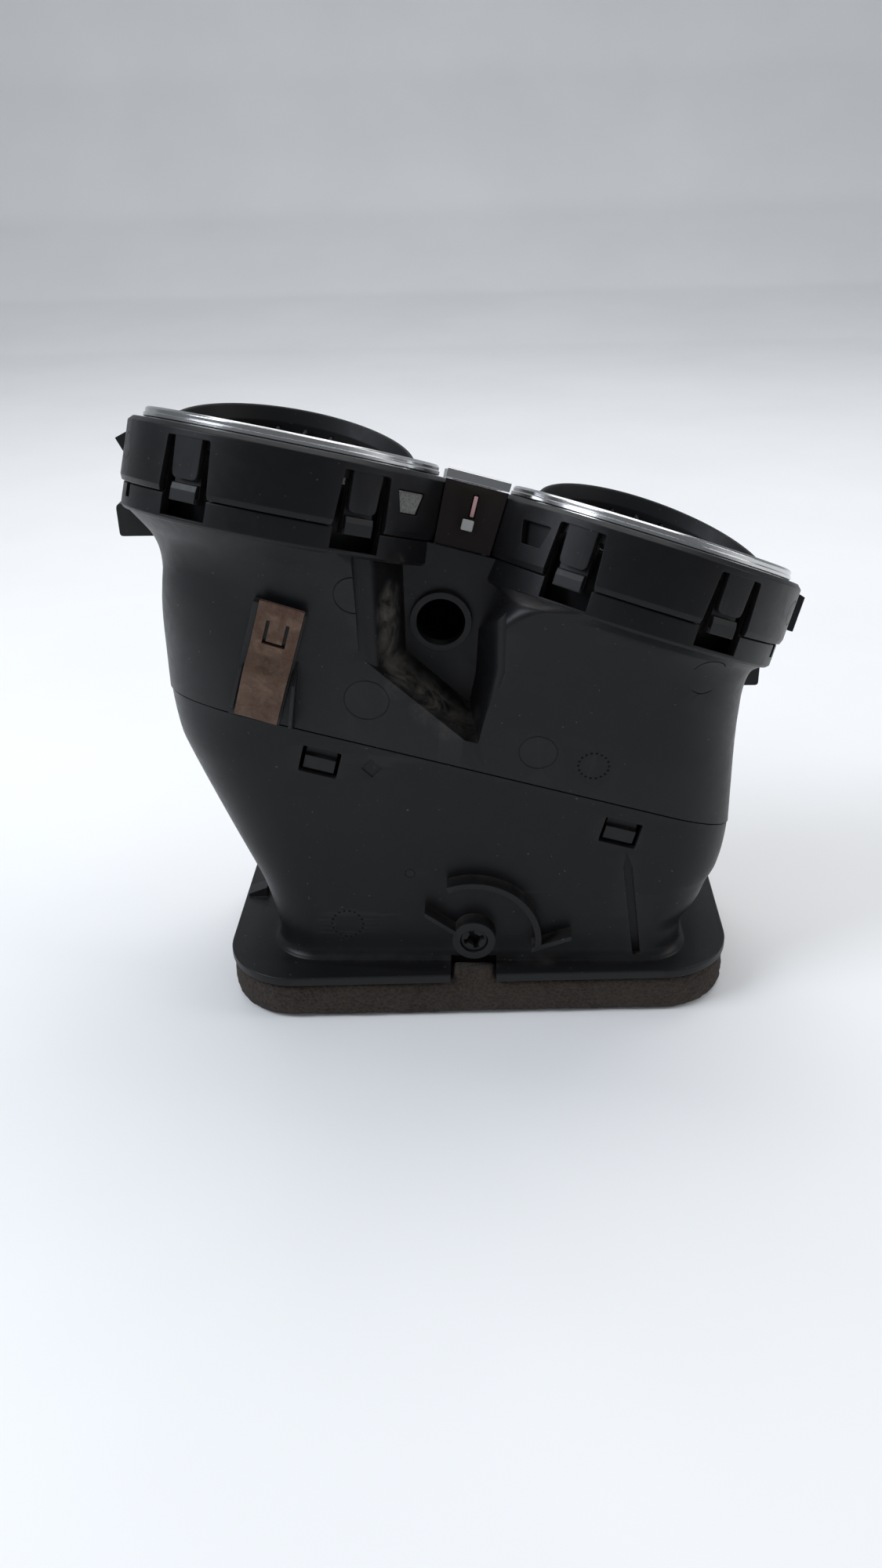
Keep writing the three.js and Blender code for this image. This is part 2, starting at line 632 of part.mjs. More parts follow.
// Band and spigot of one barrel, in the barrel's frame.
function spigot(side) {
  const top = COLLAR_LIP + GAP;
  const tube = lathe([
    [SPIGOT_BORE - 0.5, -BAND_BOTTOM],
    [BAND_RADIUS - 0.8, -BAND_BOTTOM],
    [BAND_RADIUS, -BAND_BOTTOM + 0.8],
    [BAND_RADIUS, -BAND_TOP],
    [SPIGOT_RADIUS, -BAND_TOP],
    [SPIGOT_RADIUS, -top],
    [SPIGOT_BORE - 0.5, -top],
  ]);
  const half = WINDOW.tongueWidth / 2;
  const ledgeTop = -COLLAR_HEIGHT + LATCH.height;
  const radial = [SPIGOT_RADIUS - 1, SPIGOT_RADIUS + LATCH.proud];
  const ledge = box(radial, [-half, half], [-BAND_TOP - LATCH.drop, ledgeTop]);
  const through = [SPIGOT_BORE - 1, REACH];
  const wide = WINDOW.width / 2 - LATCH.play;
  const bottom = -BAND_BOTTOM + 1.4;
  const under = box(through, [-wide, wide], [bottom, -BAND_TOP - LATCH.drop]);
  const besides = [[-wide, -half - LATCH.play], [half + LATCH.play, wide]];
  const cuts = [under, ...besides.map((edges) => box(through, edges, [bottom, -top - LATCH.root]))];
  const notch = box([BAND_RADIUS - 1, REACH], [-1.6, 1.6], [-BAND_TOP - 3.4, -BAND_TOP + 1]);
  const angles = windowAngles(side);
  const ledges = angles.map((angle) => roundBarrel(ledge, angle));
  const gaps = angles.flatMap((angle) => cuts.map((tool) => roundBarrel(tool, angle)));
  const notches = [0, 180].map((turn) => roundBarrel(notch, SIDES[side] * 63 + turn));
  return cut(unite(tube, ledges), gaps, notches);
}

function spigotBore() {
  return rod(SPIGOT_BORE, -BAND_BOTTOM + 0.5, REACH, ROUND_STEPS);
}

// Two blocks that carry the nozzle's bushes in slots open to the front.
function bearings() {
  const half = BUSH_RADIUS + GAP + 2;
  const bottom = -PIVOT_DEPTH - BUSH_RADIUS - GAP - 2;
  const top = -PIVOT_DEPTH + BUSH_RADIUS;
  const block = box([BEARING_INNER, SPIGOT_BORE + 1], [-half, half], [bottom, top]);
  const slotHalf = BUSH_RADIUS + GAP;
  const middle = matrix({ at: [0, 0, -PIVOT_DEPTH] });
  const bed = placed(rodAlong("x", slotHalf, 0, BEARING_OUTER + GAP), middle);
  const mouth = box([0, BEARING_OUTER + GAP], [-slotHalf, slotHalf], [-PIVOT_DEPTH, REACH]);
  const bearing = cut(block, bed, mouth);
  return [bearing, placed(bearing, matrix({ turnZ: 180 }))];
}

// The front and the back wall between both ducts, with a round hole and its raised rim in the front one.
function web() {
  const { front, back, thickness, left, right } = WEB;
  const plates = [front, back].map((y) => {
    const bottom = planeHeight(SEAM_DEPTH, 0, y) + 3;
    return box([left, right], [y, y + thickness], [bottom, FACE_HEIGHT]);
  });
  const everywhere = [-REACH, REACH];
  const shelf = placed(box(everywhere, everywhere, [BRIDGE_BOTTOM - GAP, REACH]), faceFrame);
  const { x, height, radius, rim } = WEB_HOLE;
  const centre = matrix({ at: [x, 0, height] });
  const ring = placed(rodAlong("y", radius + rim, front - rim, front + 1, 20), centre);
  const hole = placed(rodAlong("y", radius, front - REACH / 2, front + thickness + 1, 20), centre);
  return cut(unite(cut(unite(plates), shelf), ring), hole);
}

function clipFrame() {
  const at = [CLIP.x, -HALF_DEPTH - CLIP.proud, CLIP.height];
  return matrix({ at, turnX: CLIP.lean, turnY: CLIP.turn });
}

// The flat seat of the spring clip, with a low rib on its left and a fin that stands off to its right.
function clipSeat() {
  const half = CLIP.width / 2 + CLIP.play;
  const outer = half + CLIP_RIB.width;
  const low = CLIP_BOTTOM - 1;
  const seat = box([-outer, half], [-1.2, 6], [low, CLIP_TOP - CLIP_RIB.seatTop]);
  const ramp = (from, to, proud) => {
    const outline = [
      [7, low],
      [0, low],
      [-proud, low + 3],
      [-proud * 0.7, -4],
      [0, 1],
      [7, 1],
    ];
    return placed(prism(outline, from, to), upright);
  };
  const finPlace = matrix({ at: [half, 0, 0], turnY: CLIP_RIB.finTurn });
  const fin = placed(ramp(0, CLIP_RIB.width, CLIP_RIB.finProud), finPlace);
  return placed(unite(seat, ramp(-outer, -half, CLIP_RIB.proud), fin), clipFrame());
}

function lug(side) {
  const [edge, low, high] = LUG[side];
  const inner = side === "left" ? HOUSING_LEFT + 12 : HOUSING_RIGHT - 12;
  return box([Math.min(edge, inner), Math.max(edge, inner)], [LUG.front, LUG.back], [low, high]);
}

// Origin on a wall at the seam, X along the seam; back walls are turned so that -Y is always outwards.
function snapFrame(x, sign) {
  const y = sign * HALF_DEPTH;
  return matrix({ at: [x, y, planeHeight(SEAM_DEPTH, x, y)], turnY: FACE_TILT });
}

function snapTongue(x, sign) {
  const half = SNAP.width / 2 - SNAP.play;
  const inside = (a, b) => [sign * a, sign * b].toSorted((p, q) => p - q);
  const outer = -WALL - GAP;
  const inner = outer - SNAP.blade;
  const blade = box([-half, half], inside(outer, inner), [-SNAP.tongue, 6]);
  const root = box([-half, half], inside(-WALL / 2, inner), [1, 6]);
  const nose = box([-half, half], inside(-0.8, inner), [-SNAP.bottom + SNAP.play, -SNAP.top - 3]);
  return placed(unite(blade, root, nose), snapFrame(x, sign));
}

function snapWindow(x, sign) {
  const half = SNAP.width / 2;
  const hole = box([-half, half], [-WALL - 1, WALL + 1], [-SNAP.bottom, -SNAP.top]);
  return placed(hole, snapFrame(x, sign));
}

function snapJoints(make) {
  return SNAP.places.flatMap((x) => [make(x, -1), make(x, 1)]);
}

function upperHousing() {
  const sides = Object.keys(SIDES);
  const ducts = cut(unite(sides.map((side) => loft(ductRings(side, 0)))), pocket(0));
  const airways = cut(unite(sides.map((side) => loft(ductRings(side, WALL)))), pocket(WALL));
  const spigots = sides.map((side) => placed(spigot(side), frames[side]));
  const bores = sides.map((side) => placed(spigotBore(), frames[side]));
  const below = [-REACH * 3, -SEAM_DEPTH + GAP / 2];
  const belowSeam = placed(box([-REACH * 3, REACH * 3], [-REACH * 3, REACH * 3], below), faceFrame);
  const outside = cut(unite(ducts, spigots, web(), clipSeat(), sides.map(lug)), belowSeam);
  const inside = sides.flatMap((side) => bearings().map((bearing) => placed(bearing, frames[side])));
  return unite(cut(outside, airways, bores), inside, snapJoints(snapTongue));
}

// ---------------------------------------------------------------- lower housing
function baseSections() {
  const foot = { height: FLANGE_BOTTOM, ...BASE_INSET };
  const head = { ...BASE_LEVELS.at(-1), height: FACE_HEIGHT };
  return [foot, ...BASE_LEVELS, head];
}

function baseBody(inset) {
  const rings = baseSections().map(({ height, left, right, leftCorner, rightCorner }) => {
    const corners = [rightCorner, leftCorner, leftCorner, rightCorner];
    const plan = span(HOUSING_LEFT + left, HOUSING_RIGHT - right, -HALF_DEPTH, HALF_DEPTH, corners);
    return roundedRing(plan, (x, y) => new THREE.Vector3(x, y, height), inset);
  });
  return loft(rings);
}

function inletShape(inset) {
  const { halfWidth, corner } = INLET;
  const y = HALF_DEPTH - WALL;
  const plan = { x0: FLAP_AXIS.x - halfWidth, x1: FLAP_AXIS.x + halfWidth, y0: -y, y1: y, corner };
  return roundedRing(plan, (px, py) => [px, py], inset);
}

function flangeShape(inset) {
  const { left, right, frontLeft, frontRight, back, corner } = FLANGE;
  const r = corner - inset;
  const shape = new THREE.Shape();
  shape.absarc(left + corner, frontLeft + corner, r, Math.PI, 1.5 * Math.PI);
  shape.absarc(right - corner, frontRight + corner, r, 1.5 * Math.PI, 2 * Math.PI);
  shape.absarc(right - corner, back - corner, r, 0, 0.5 * Math.PI);
  shape.absarc(left + corner, back - corner, r, 0.5 * Math.PI, Math.PI);
  return shape;
}

function flange() {
  const plate = prism(flangeShape(0), FLANGE_BOTTOM, FLANGE_TOP, 6);
  const notch = box([FLANGE_NOTCH.left, FLANGE_NOTCH.right], [-REACH, -HALF_DEPTH], [0, FLANGE_TOP + 1]);
  const low = FLANGE_TOP - 1;
  const edge = FLANGE.left + NUB.setback;
  const wedge = [
    [edge, low],
    [edge + NUB.length, low],
    [edge + NUB.length, FLANGE_TOP + NUB.high],
    [edge, FLANGE_TOP + NUB.low],
  ];
  return unite(cut(plate, notch), prismAlongY(wedge, 0, NUB.width));
}

// The tube and the arched guard round the flap's drive, on the wall that sign names.
function flapBoss(sign) {
  const wall = sign * (HALF_DEPTH - WALL / 2);
  const tip = sign * (HALF_DEPTH + BOSS.proud);
  const ends = [wall, tip].toSorted((a, b) => a - b);
  const centre = matrix({ at: [FLAP_AXIS.x, 0, FLAP_AXIS.height] });
  const tube = placed(rodAlong("y", BOSS.radius, ...ends, 20), centre);
  const { radius, width, from, to } = GUARD;
  const arch = new THREE.Shape();
  arch.absarc(0, 0, radius + width, rad(from), rad(to));
  arch.absarc(0, 0, radius, rad(to), rad(from), true);
  const rib = placed(prismAlongY(arch, ...ends, 12), centre);
  return [tube, rib, placed(unite(gussets(ends)), centre)];
}

// Sloping fins that carry the load of the guard into the wall.
function gussets(ends) {
  const fin = (from, to, { low, high }) => {
    const outline = [
      [from, low],
      [to, high],
      [to, high + FIN_THICKNESS],
      [from, low + FIN_THICKNESS],
    ];
    return prismAlongY(outline, ...ends);
  };
  const left = fin(-BOSS.radius + 1, -LEFT_FIN.reach, LEFT_FIN);
  const right = fin(GUARD.radius - 1, RIGHT_FIN.reach, RIGHT_FIN);
  return [left, right];
}

function flapHole(sign) {
  const ends = [sign * REACH, sign * (HALF_DEPTH - WALL - 2)].toSorted((a, b) => a - b);
  const hole = rodAlong("y", SPINDLE.radius + GAP, ...ends, 20);
  return placed(hole, matrix({ at: [FLAP_AXIS.x, 0, FLAP_AXIS.height] }));
}

// A shallow knife-shaped groove down the front, from the right window to the flange.
function frontGroove() {
  const { width, depth, top, topX, footX } = GROOVE;
  const foot = FLANGE_TOP + 1;
  const outline = [[topX, top], [topX + width, top], [footX + width, foot], [footX, foot]];
  return prismAlongY(outline, -HALF_DEPTH - 1, -HALF_DEPTH + depth);
}

function lowerHousing() {
  const far = REACH * 3;
  const above = box([-far, far], [-far, far], [-SEAM_DEPTH - GAP / 2, far]);
  const seamCut = placed(above, faceFrame);
  const floor = box([-far, far], [-REACH, REACH], [0, FLANGE_TOP]);
  const airway = cut(baseBody(WALL), floor);
  const inlet = prism(inletShape(0), 0, FLANGE_TOP + 1);
  const outside = unite(baseBody(0), flange(), flapBoss(-1), flapBoss(1));
  const holes = [flapHole(-1), flapHole(1)];
  return cut(outside, seamCut, airway, inlet, holes, snapJoints(snapWindow), frontGroove());
}

function gasket() {
  const plate = prism(flangeShape(GASKET_INSET), 0, GASKET_HEIGHT, 6);
  return cut(plate, prism(inletShape(-1), -1, GASKET_HEIGHT + 1));
}

// ---------------------------------------------------------------- shut-off flaps
// They stand upright about their shared axis. sign is -1 for the left outlet's flap, driven from the
// front, and 1 for the right outlet's.
function ownHalf(sign, from, to) {
  return [sign * from, sign * to].toSorted((a, b) => a - b);
}

// A flap's outline from the height bottom up to its clipped free corners, between x0 and x1.
function flapPlate([x0, x1], halfWidth, bottom, top) {
  const shoulder = halfWidth - FLAP_CORNER;
  const right = [[halfWidth, bottom], [halfWidth, top - FLAP_CORNER], [shoulder, top]];
  const left = right.map(([y, z]) => [-y, z]).toReversed();
  return placed(prism([...right, ...left], x0, x1), upright);
}

function flap(sign) {
  const half = FLAP_THICKNESS / 2;
  const clear = FLAP_HUB_RADIUS + GAP + 0.4;
  const plate = flapPlate([-half, half], FLAP_HALF_WIDTH, clear, FLAP_LENGTH);
  const root = box([-half, half], ownHalf(sign, 2, FLAP_HALF_WIDTH), [0, clear + 1]);
  const hub = rodAlong("y", FLAP_HUB_RADIUS, ...ownHalf(sign, 0.4, FLAP_HALF_WIDTH));
  const ribOutline = [
    [0, 0],
    [sign * 2.8, 0],
    [sign * half, 30],
    [0, 30],
  ];
  const rib = (y) => prismAlongY(ribOutline, y - 0.8, y + 0.8);
  const ribs = [7, 15, 23].map((y) => rib(sign * y));
  const tenonHalf = SPINDLE.tenon / 2 + GAP;
  const socket = box(
    [-tenonHalf, tenonHalf],
    ownHalf(sign, FLAP_HALF_WIDTH - SPINDLE.tenonLength - GAP, FLAP_HALF_WIDTH + 1),
    [-tenonHalf, tenonHalf],
  );
  const pinEnds = ownHalf(sign, -1, JOINING_PIN.half + GAP);
  const pinHole = rodAlong("y", JOINING_PIN.radius + GAP, ...pinEnds, 12);
  return cut(unite(plate, root, hub, ribs), socket, pinHole);
}

function flapSeal(sign) {
  const face = sign * (FLAP_THICKNESS / 2 + GAP);
  const skin = [face, face + sign * SEAL_THICKNESS].toSorted((a, b) => a - b);
  const half = FLAP_HALF_WIDTH - 0.2;
  return flapPlate(skin, half, SEAL_BOTTOM, FLAP_LENGTH - 0.4);
}

// Journal, keyed socket and square tenon that drive one flap from outside.
function spindle(sign) {
  const inner = FLAP_HALF_WIDTH + GAP;
  const outer = HALF_DEPTH + SPINDLE.proud;
  const half = SPINDLE.tenon / 2;
  const journal = rodAlong("y", SPINDLE.radius, ...ownHalf(sign, inner, outer), 20);
  const tenon = box([-half, half], ownHalf(sign, inner - SPINDLE.tenonLength, inner + 1), [-half, half]);
  const mouth = ownHalf(sign, outer - 4, outer + 1);
  const key = SPINDLE.key / 2;
  const slots = [box([-3, 3], mouth, [-key, key]), box([-key, key], mouth, [-3, 3])];
  return cut(unite(journal, tenon), rodAlong("y", 1.9, ...mouth, 12), slots);
}

function joiningPin() {
  return rodAlong("y", JOINING_PIN.radius, -JOINING_PIN.half, JOINING_PIN.half, 12);
}

// ---------------------------------------------------------------- bridge, in the face's frame
function betweenCollars(shape) {
  const toFace = faceFrame.clone().invert();
  const barrels = Object.values(frames).map((frame) => {
    const clear = rod(COLLAR_RADIUS + GAP, -REACH, REACH, ROUND_STEPS);
    return placed(clear, toFace.clone().multiply(frame));
  });
  return cut(shape, barrels);
}

function bridgeReach() {
  return COLLAR_SPACING / 2 + 3;
}

function bridgePanel() {
  const { halfLength, wall, lift } = BRIDGE;
  const reach = bridgeReach();
  const block = box([-reach, reach], [-halfLength, halfLength], [BRIDGE_BOTTOM, lift]);
  const hollow = [-halfLength + wall, halfLength - wall];
  const inside = box([-reach - 1, reach + 1], hollow, [-REACH, lift - wall]);
  const { x, width, top, bottom } = LIGHT_GUIDE;
  const half = width / 2 + GAP;
  const slot = box([x - half, x + half], [-REACH, 0], [bottom - GAP, top + GAP]);
  return cut(betweenCollars(block), inside, slot);
}

function bridgeStrip() {
  const { halfLength, lift, stripHeight } = BRIDGE;
  const reach = bridgeReach();
  const bottom = lift + GAP;
  return betweenCollars(box([-reach, reach], [-halfLength, halfLength], [bottom, bottom + stripHeight]));
}

function lightGuide() {
  const { x, width, top, bottom, depth } = LIGHT_GUIDE;
  const front = -BRIDGE.halfLength - 0.6;
  return box([x - width / 2, x + width / 2], [front, front + depth], [bottom, top]);
}

function guideBlock() {
  const { width, height, proud } = GUIDE_BLOCK;
  const back = -BRIDGE.halfLength - GAP;
  const x = LIGHT_GUIDE.x - 0.6;
  const top = LIGHT_GUIDE.bottom - 0.8;
  return box([x - width / 2, x + width / 2], [back - proud, back], [top - height, top]);
}

// ---------------------------------------------------------------- spring clip, in the frame of its seat
function springClip() {
  const t = CLIP.thickness;
  const flat = 1.2 + GAP;
  const bulge = flat + CLIP_BULGE;
  const inner = [
    [-flat, CLIP_TOP],
    [-flat, 2],
    [-bulge, -2.5],
    [-flat - 0.4, CLIP_BOTTOM + 1],
  ];
  const outer = [
    [-flat - t - 0.4, CLIP_BOTTOM + 0.4],
    [-bulge - t, -2.5],
    [-flat - t, 2.4],
    [-flat - t, CLIP_TOP],
  ];
  const half = CLIP.width / 2;
  const strip = placed(prism([...inner, ...outer], -half, half), upright);
  const slotWidth = 0.9;
  const arm = 3;
  const through = [-REACH, 0];
  const slots = [
    box([-arm, -arm + slotWidth], through, [5.5, 12.5]),
    box([arm - slotWidth, arm], through, [5.5, 12.5]),
    box([-arm, arm], through, [5.5, 5.5 + slotWidth]),
  ];
  return cut(strip, slots);
}

// ---------------------------------------------------------------- assembly
const blackPlastic = { color: 0x1b1a1c, roughness: 0.5, metalness: 0 };
const glossBlack = { color: 0x120f0e, roughness: 0.2, metalness: 0 };
const chrome = { color: 0xc9cacc, roughness: 0.12, metalness: 1 };
const foam = { color: 0x3a322c, roughness: 0.95, metalness: 0 };
const steel = { color: 0x6b5040, roughness: 0.6, metalness: 0.7 };
const greyFelt = { color: 0xa8a7a4, roughness: 0.95, metalness: 0 };
const pinkLens = { color: 0xc99a9a, roughness: 0.3, metalness: 0 };
const greyPlastic = { color: 0x9c9b98, roughness: 0.6, metalness: 0 };
const naturalPlastic = { color: 0xd8d4c8, roughness: 0.6, metalness: 0 };

function mesh(name, shape, look) {
  const { vertProperties, triVerts } = shape.getMesh();
  const geometry = new THREE.BufferGeometry();
  geometry.setAttribute("position", new THREE.BufferAttribute(vertProperties, 3));
  geometry.setIndex(new THREE.BufferAttribute(triVerts, 1));
  geometry.computeVertexNormals();
  const made = new THREE.Mesh(geometry, new THREE.MeshStandardMaterial({ ...look, flatShading: true }));
  made.name = name;
  return made;
}

function group(frame, ...children) {
  const made = new THREE.Group();
  made.applyMatrix4(frame);
  made.add(...children);
  return made;
}

// The nozzle tilts about X; its vanes turn about their own axes along Y.
function nozzleGroup(side) {
  const vanes = vanePlaces().map((x, i) =>
    group(matrix({ at: [x, 0, 0] }), mesh(`${side}_vane_${i + 1}`, vane(x), blackPlastic)),
  );
  const parts = [
    mesh(`${side}_nozzle`, nozzle(), blackPlastic),
    mesh(`${side}_link_bar`, linkBar(), blackPlastic),
    mesh(`${side}_vane_knob`, knob(), glossBlack),
  ];
  const turning = group(matrix({ at: [0, 0, -PIVOT_DEPTH], turnX: NOZZLE_TILT }), ...parts, ...vanes);
  turning.name = `${side}_nozzle_frame`;
  return turning;
}

function barrelGroup(side) {
  const middle = matrix({ at: [0, 0, -PIVOT_DEPTH] });
  const halfTurned = matrix({ turnZ: 180 }).premultiply(middle);
  const pieces = [
    mesh(`${side}_collar`, collar(side), blackPlastic),
    mesh(`${side}_trim_ring`, trimRing(), chrome),
    mesh(`${side}_nozzle_bush_1`, placed(bush(), halfTurned), naturalPlastic),
    mesh(`${side}_nozzle_bush_2`, placed(bush(), middle), naturalPlastic),
    nozzleGroup(side),
  ];
  if (side === "left") pieces.push(mesh("view_slot_pad", viewPad(), greyFelt));
  return group(frames[side], ...pieces);
}

function flapGroup(side) {
  const sign = SIDES[side];
  const turn = matrix({ at: [FLAP_AXIS.x, 0, FLAP_AXIS.height], turnY: sign * FLAP_OPEN });
  const pieces = [
    mesh(`${side}_flap`, flap(sign), blackPlastic),
    mesh(`${side}_flap_seal`, flapSeal(sign), foam),
    mesh(`${side}_flap_spindle`, spindle(sign), blackPlastic),
  ];
  if (side === "left") pieces.push(mesh("flap_joining_pin", joiningPin(), steel));
  const turning = group(turn, ...pieces);
  turning.name = `${side}_flap_frame`;
  return turning;
}

const outlet = new THREE.Group();
outlet.add(
  mesh("upper_housing", upperHousing(), blackPlastic),
  mesh("lower_housing", lowerHousing(), blackPlastic),
  mesh("foam_gasket", gasket(), foam),
  barrelGroup("left"),
  barrelGroup("right"),
  flapGroup("left"),
  flapGroup("right"),
  group(
    faceFrame,
    mesh("bridge_panel", bridgePanel(), glossBlack),
    mesh("bridge_strip", bridgeStrip(), chrome),
    mesh("light_guide", lightGuide(), pinkLens),
    mesh("light_guide_block", guideBlock(), greyPlastic),
  ),
  group(clipFrame(), mesh("spring_clip", springClip(), steel)),
);

// The origin is under the middle of the whole part, at the gasket's underside.
outlet.updateMatrixWorld(true);
const extent = new THREE.Box3().setFromObject(outlet, true);
const middle = extent.getCenter(new THREE.Vector3());
outlet.position.set(-middle.x, -middle.y, 0);

export default outlet;
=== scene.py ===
import json
import math
from functools import cache
from math import radians

import bmesh
import bpy
from mathutils import Matrix, Vector, noise

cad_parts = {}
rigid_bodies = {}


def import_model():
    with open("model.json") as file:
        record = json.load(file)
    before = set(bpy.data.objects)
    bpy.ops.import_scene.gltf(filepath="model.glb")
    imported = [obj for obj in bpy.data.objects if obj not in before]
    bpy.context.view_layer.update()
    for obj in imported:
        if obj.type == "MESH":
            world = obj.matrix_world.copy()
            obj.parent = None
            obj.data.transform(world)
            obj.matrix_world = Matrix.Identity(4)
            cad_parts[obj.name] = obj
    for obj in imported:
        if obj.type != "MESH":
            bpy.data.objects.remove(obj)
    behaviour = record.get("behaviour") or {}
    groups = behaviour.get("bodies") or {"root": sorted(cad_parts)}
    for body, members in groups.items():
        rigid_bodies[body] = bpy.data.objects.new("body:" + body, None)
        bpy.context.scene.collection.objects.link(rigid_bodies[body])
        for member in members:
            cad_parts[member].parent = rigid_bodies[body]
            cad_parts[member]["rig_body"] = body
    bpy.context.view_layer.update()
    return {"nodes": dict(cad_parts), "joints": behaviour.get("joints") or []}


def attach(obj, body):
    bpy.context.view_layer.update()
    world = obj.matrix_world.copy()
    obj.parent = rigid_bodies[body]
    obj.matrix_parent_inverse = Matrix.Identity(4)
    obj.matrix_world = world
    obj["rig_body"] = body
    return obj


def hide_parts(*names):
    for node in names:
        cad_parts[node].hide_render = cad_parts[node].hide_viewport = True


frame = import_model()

MM = 0.001

# ---- sizes, in millimetres
GAP = 0.3
WALL = 2
REACH = 60
FAR = 3 * REACH
FINE = 192
FACE_HEIGHT, FACE_TILT, FACE_LEAN, BARREL_SPLAY = 143.6, 15.3, 15, 3
COLLAR_SPACING = 12.6
COLLAR_RADIUS, COLLAR_WALL, COLLAR_HEIGHT, COLLAR_LIP = 43, 1.8, 16.4, 2
BAND_HEIGHT, BAND_SETBACK = 6.6, 1.1
WINDOW_WIDTH, WINDOW_TOP, TONGUE_WIDTH, TONGUE_TIP = 13.8, 2.8, 7.6, 12.6
LATCH_HEIGHT, LATCH_DROP, LATCH_PLAY, LATCH_ROOT = 2.8, 1.3, 0.2, 2.7
WINDOW_ANGLES = {"left": [-29, 32], "right": [-33, 24]}
VIEW_SLOT = {"angle": 51.5, "width": 10.4, "top": 5, "bottom": 10.8, "taper": 1.9}
RING_RADIUS = COLLAR_RADIUS - 3.6
RING_BORE = RING_RADIUS - 3.6
RING_HEIGHT = 2.6
SKIRT_RADIUS = RING_BORE + 2.35
BALL_RADIUS = RING_BORE - 1
NOZZLE_HALF = 12.2
NOZZLE_BORE = BALL_RADIUS - 4.4
NOZZLE_TILT, PIVOT_DEPTH, TRUNNION_RADIUS = 17, 10, 2.5
VANE_COUNT, VANE_THICKNESS, VANE_FRONT, VANE_BACK, VANE_SWING = 7, 1.2, 7.6, 7.4, 28
VANE_PIN_RADIUS, VANE_PIN_LENGTH = 1, 2.6
VANE_SPACING = 2 * NOZZLE_BORE / (VANE_COUNT + 1)
CRANK, CRANK_PIN = 6.4, 0.7
LINK_WIDTH, LINK_HEIGHT, LINK_SLOT, LINK_END = 3, 3.4, 2.4, 2.2
KNOB_WIDTH, KNOB_LENGTH, KNOB_HEIGHT, KNOB_COVER = 6, 11, 6.2, 2.6
SEAM_DEPTH, MID_DEPTH, HALF_DEPTH = 71.2, 46.6, 32
HOUSING_LEFT, HOUSING_RIGHT = -85.9, 73
DUCT_OVERLAP, INNER_CORNER = 6, 4
SEAM_CORNER = {"left": 24, "right": 18}
NECK = {"left": (11, 1, 30), "right": (8, 2, 26)}
MID_STEP, MID_PAST, MID_CORNER = {"left": 1.6, "right": 0}, 9, 24
MID_FRONT, MID_BACK = -36, 30
# height, how far the left and the right wall have come in, and their corner radii
BASE_LEVELS = [
    (12, 27, 13.4, 12, 10), (20, 26.8, 12.9, 12, 10), (24, 26, 12.7, 12, 11), (29, 24.9, 7.6, 13, 14),
    (35.5, 22.6, 4.9, 15, 16), (39, 20.9, 2.4, 16, 17), (46, 17.3, 0.7, 18, 18), (56, 11.8, 0, 22, 18),
    (72, 4.9, 0, 24, 18), (86, 0, 0, 24, 18), (FACE_HEIGHT, 0, 0, 24, 18),
]
POCKET_MOUTH = [(-25.1, 150), (-25.1, 107.5), (-2.3, 85), (1.7, 84.1), (5.9, 107.4), (7, 150)]
POCKET_MIDDLE = [(-18.3, 150), (-18.3, 105.9), (-1.9, 90.6), (-1.3, 90.1), (0.6, 99.3), (4, 150)]
POCKET_ROUNDING, POCKET_RIGHT_SHARE = 4, 0.6
GASKET_HEIGHT, GASKET_INSET, FLANGE_THICKNESS = 11.7, 0.6, 2.8
FLANGE = {"left": -74, "right": 74.4, "front_left": -43.6, "front_right": -39.2, "back": 40, "corner": 21}
FLANGE_NOTCH = (-7.4, 5.8)
INLET_HALF, INLET_CORNER = 51, 10
FLAP_X, FLAP_HEIGHT, FLAP_OPEN, FLAP_THICK = -0.6, 23.5, 16, 0.9
SPINDLE_RADIUS, HUB_RADIUS, TENON_HALF, FLAP_PIN_RADIUS, FLAP_PIN_HALF = 3.7, 3.8, 2.1, 1.5, 8
SNAP_WIDTH, SNAP_TOP, SNAP_BOTTOM, SNAP_TONGUE, SNAP_BLADE = 10.6, 4.4, 12.2, 14, 1.6
SNAP_PLACES = [-39.8, 42.6]
BRIDGE_HALF, BRIDGE_WALL, BRIDGE_LIFT, STRIP_HEIGHT = 14, 2, 2.1, 2.5
GUIDE = (-0.1, 0.9, -6, -0.6)
WEB_FRONT, WEB_BACK, WEB_THICKNESS, WEB_LEFT, WEB_RIGHT = -18, 14, 2, -30, 24
HOLE_X, HOLE_HEIGHT, HOLE_RADIUS, HOLE_RIM = -8.6, 114.4, 6.5, 1.8
CLIP_AT, CLIP_LEAN, CLIP_TURN = (-52.2, -35.2, 110.6), 10, 18
CLIP_WIDTH, CLIP_THICKNESS, CLIP_PLAY = 11.6, 0.9, 0.6
CLIP_TOP, CLIP_BOTTOM, CLIP_BULGE = 17.6, -18.6, 3.2
CLIP_RIB_WIDTH, CLIP_RIB_PROUD, FIN_PROUD, FIN_TURN = 1, 2.4, 5.2, -9
LUG_FRONT, LUG_BACK = 6, 22
LUG = {"left": (-99.5, 131.3, 140.6), "right": (82.6, 84.3, 91.4)}
BOSS_RADIUS, BOSS_PROUD = 6.2, 5
GUARD_RADIUS, GUARD_WIDTH, GUARD_FROM, GUARD_TO, GUARD_GUSSET = 17.6, 1.8, -9, 113, 14
# x, height, radius and kind of each moulding mark
UPPER_MARKS = [(-29.2, 128.7, 5.3, "circle"), (-28.0, 98.2, 6.1, "circle"), (17.3, 82.3, 5.3, "circle"),
               (60.1, 105.0, 5.3, "circle"), (32.2, 78.2, 4.1, "dots")]
LOWER_MARKS = [(-37.4, 26.1, 4.5, "dots"), (-18.6, 43.3, 1.5, "circle"), (-27.9, 77.0, 2, "recess")]
SIDES = {"left": -1, "right": 1}

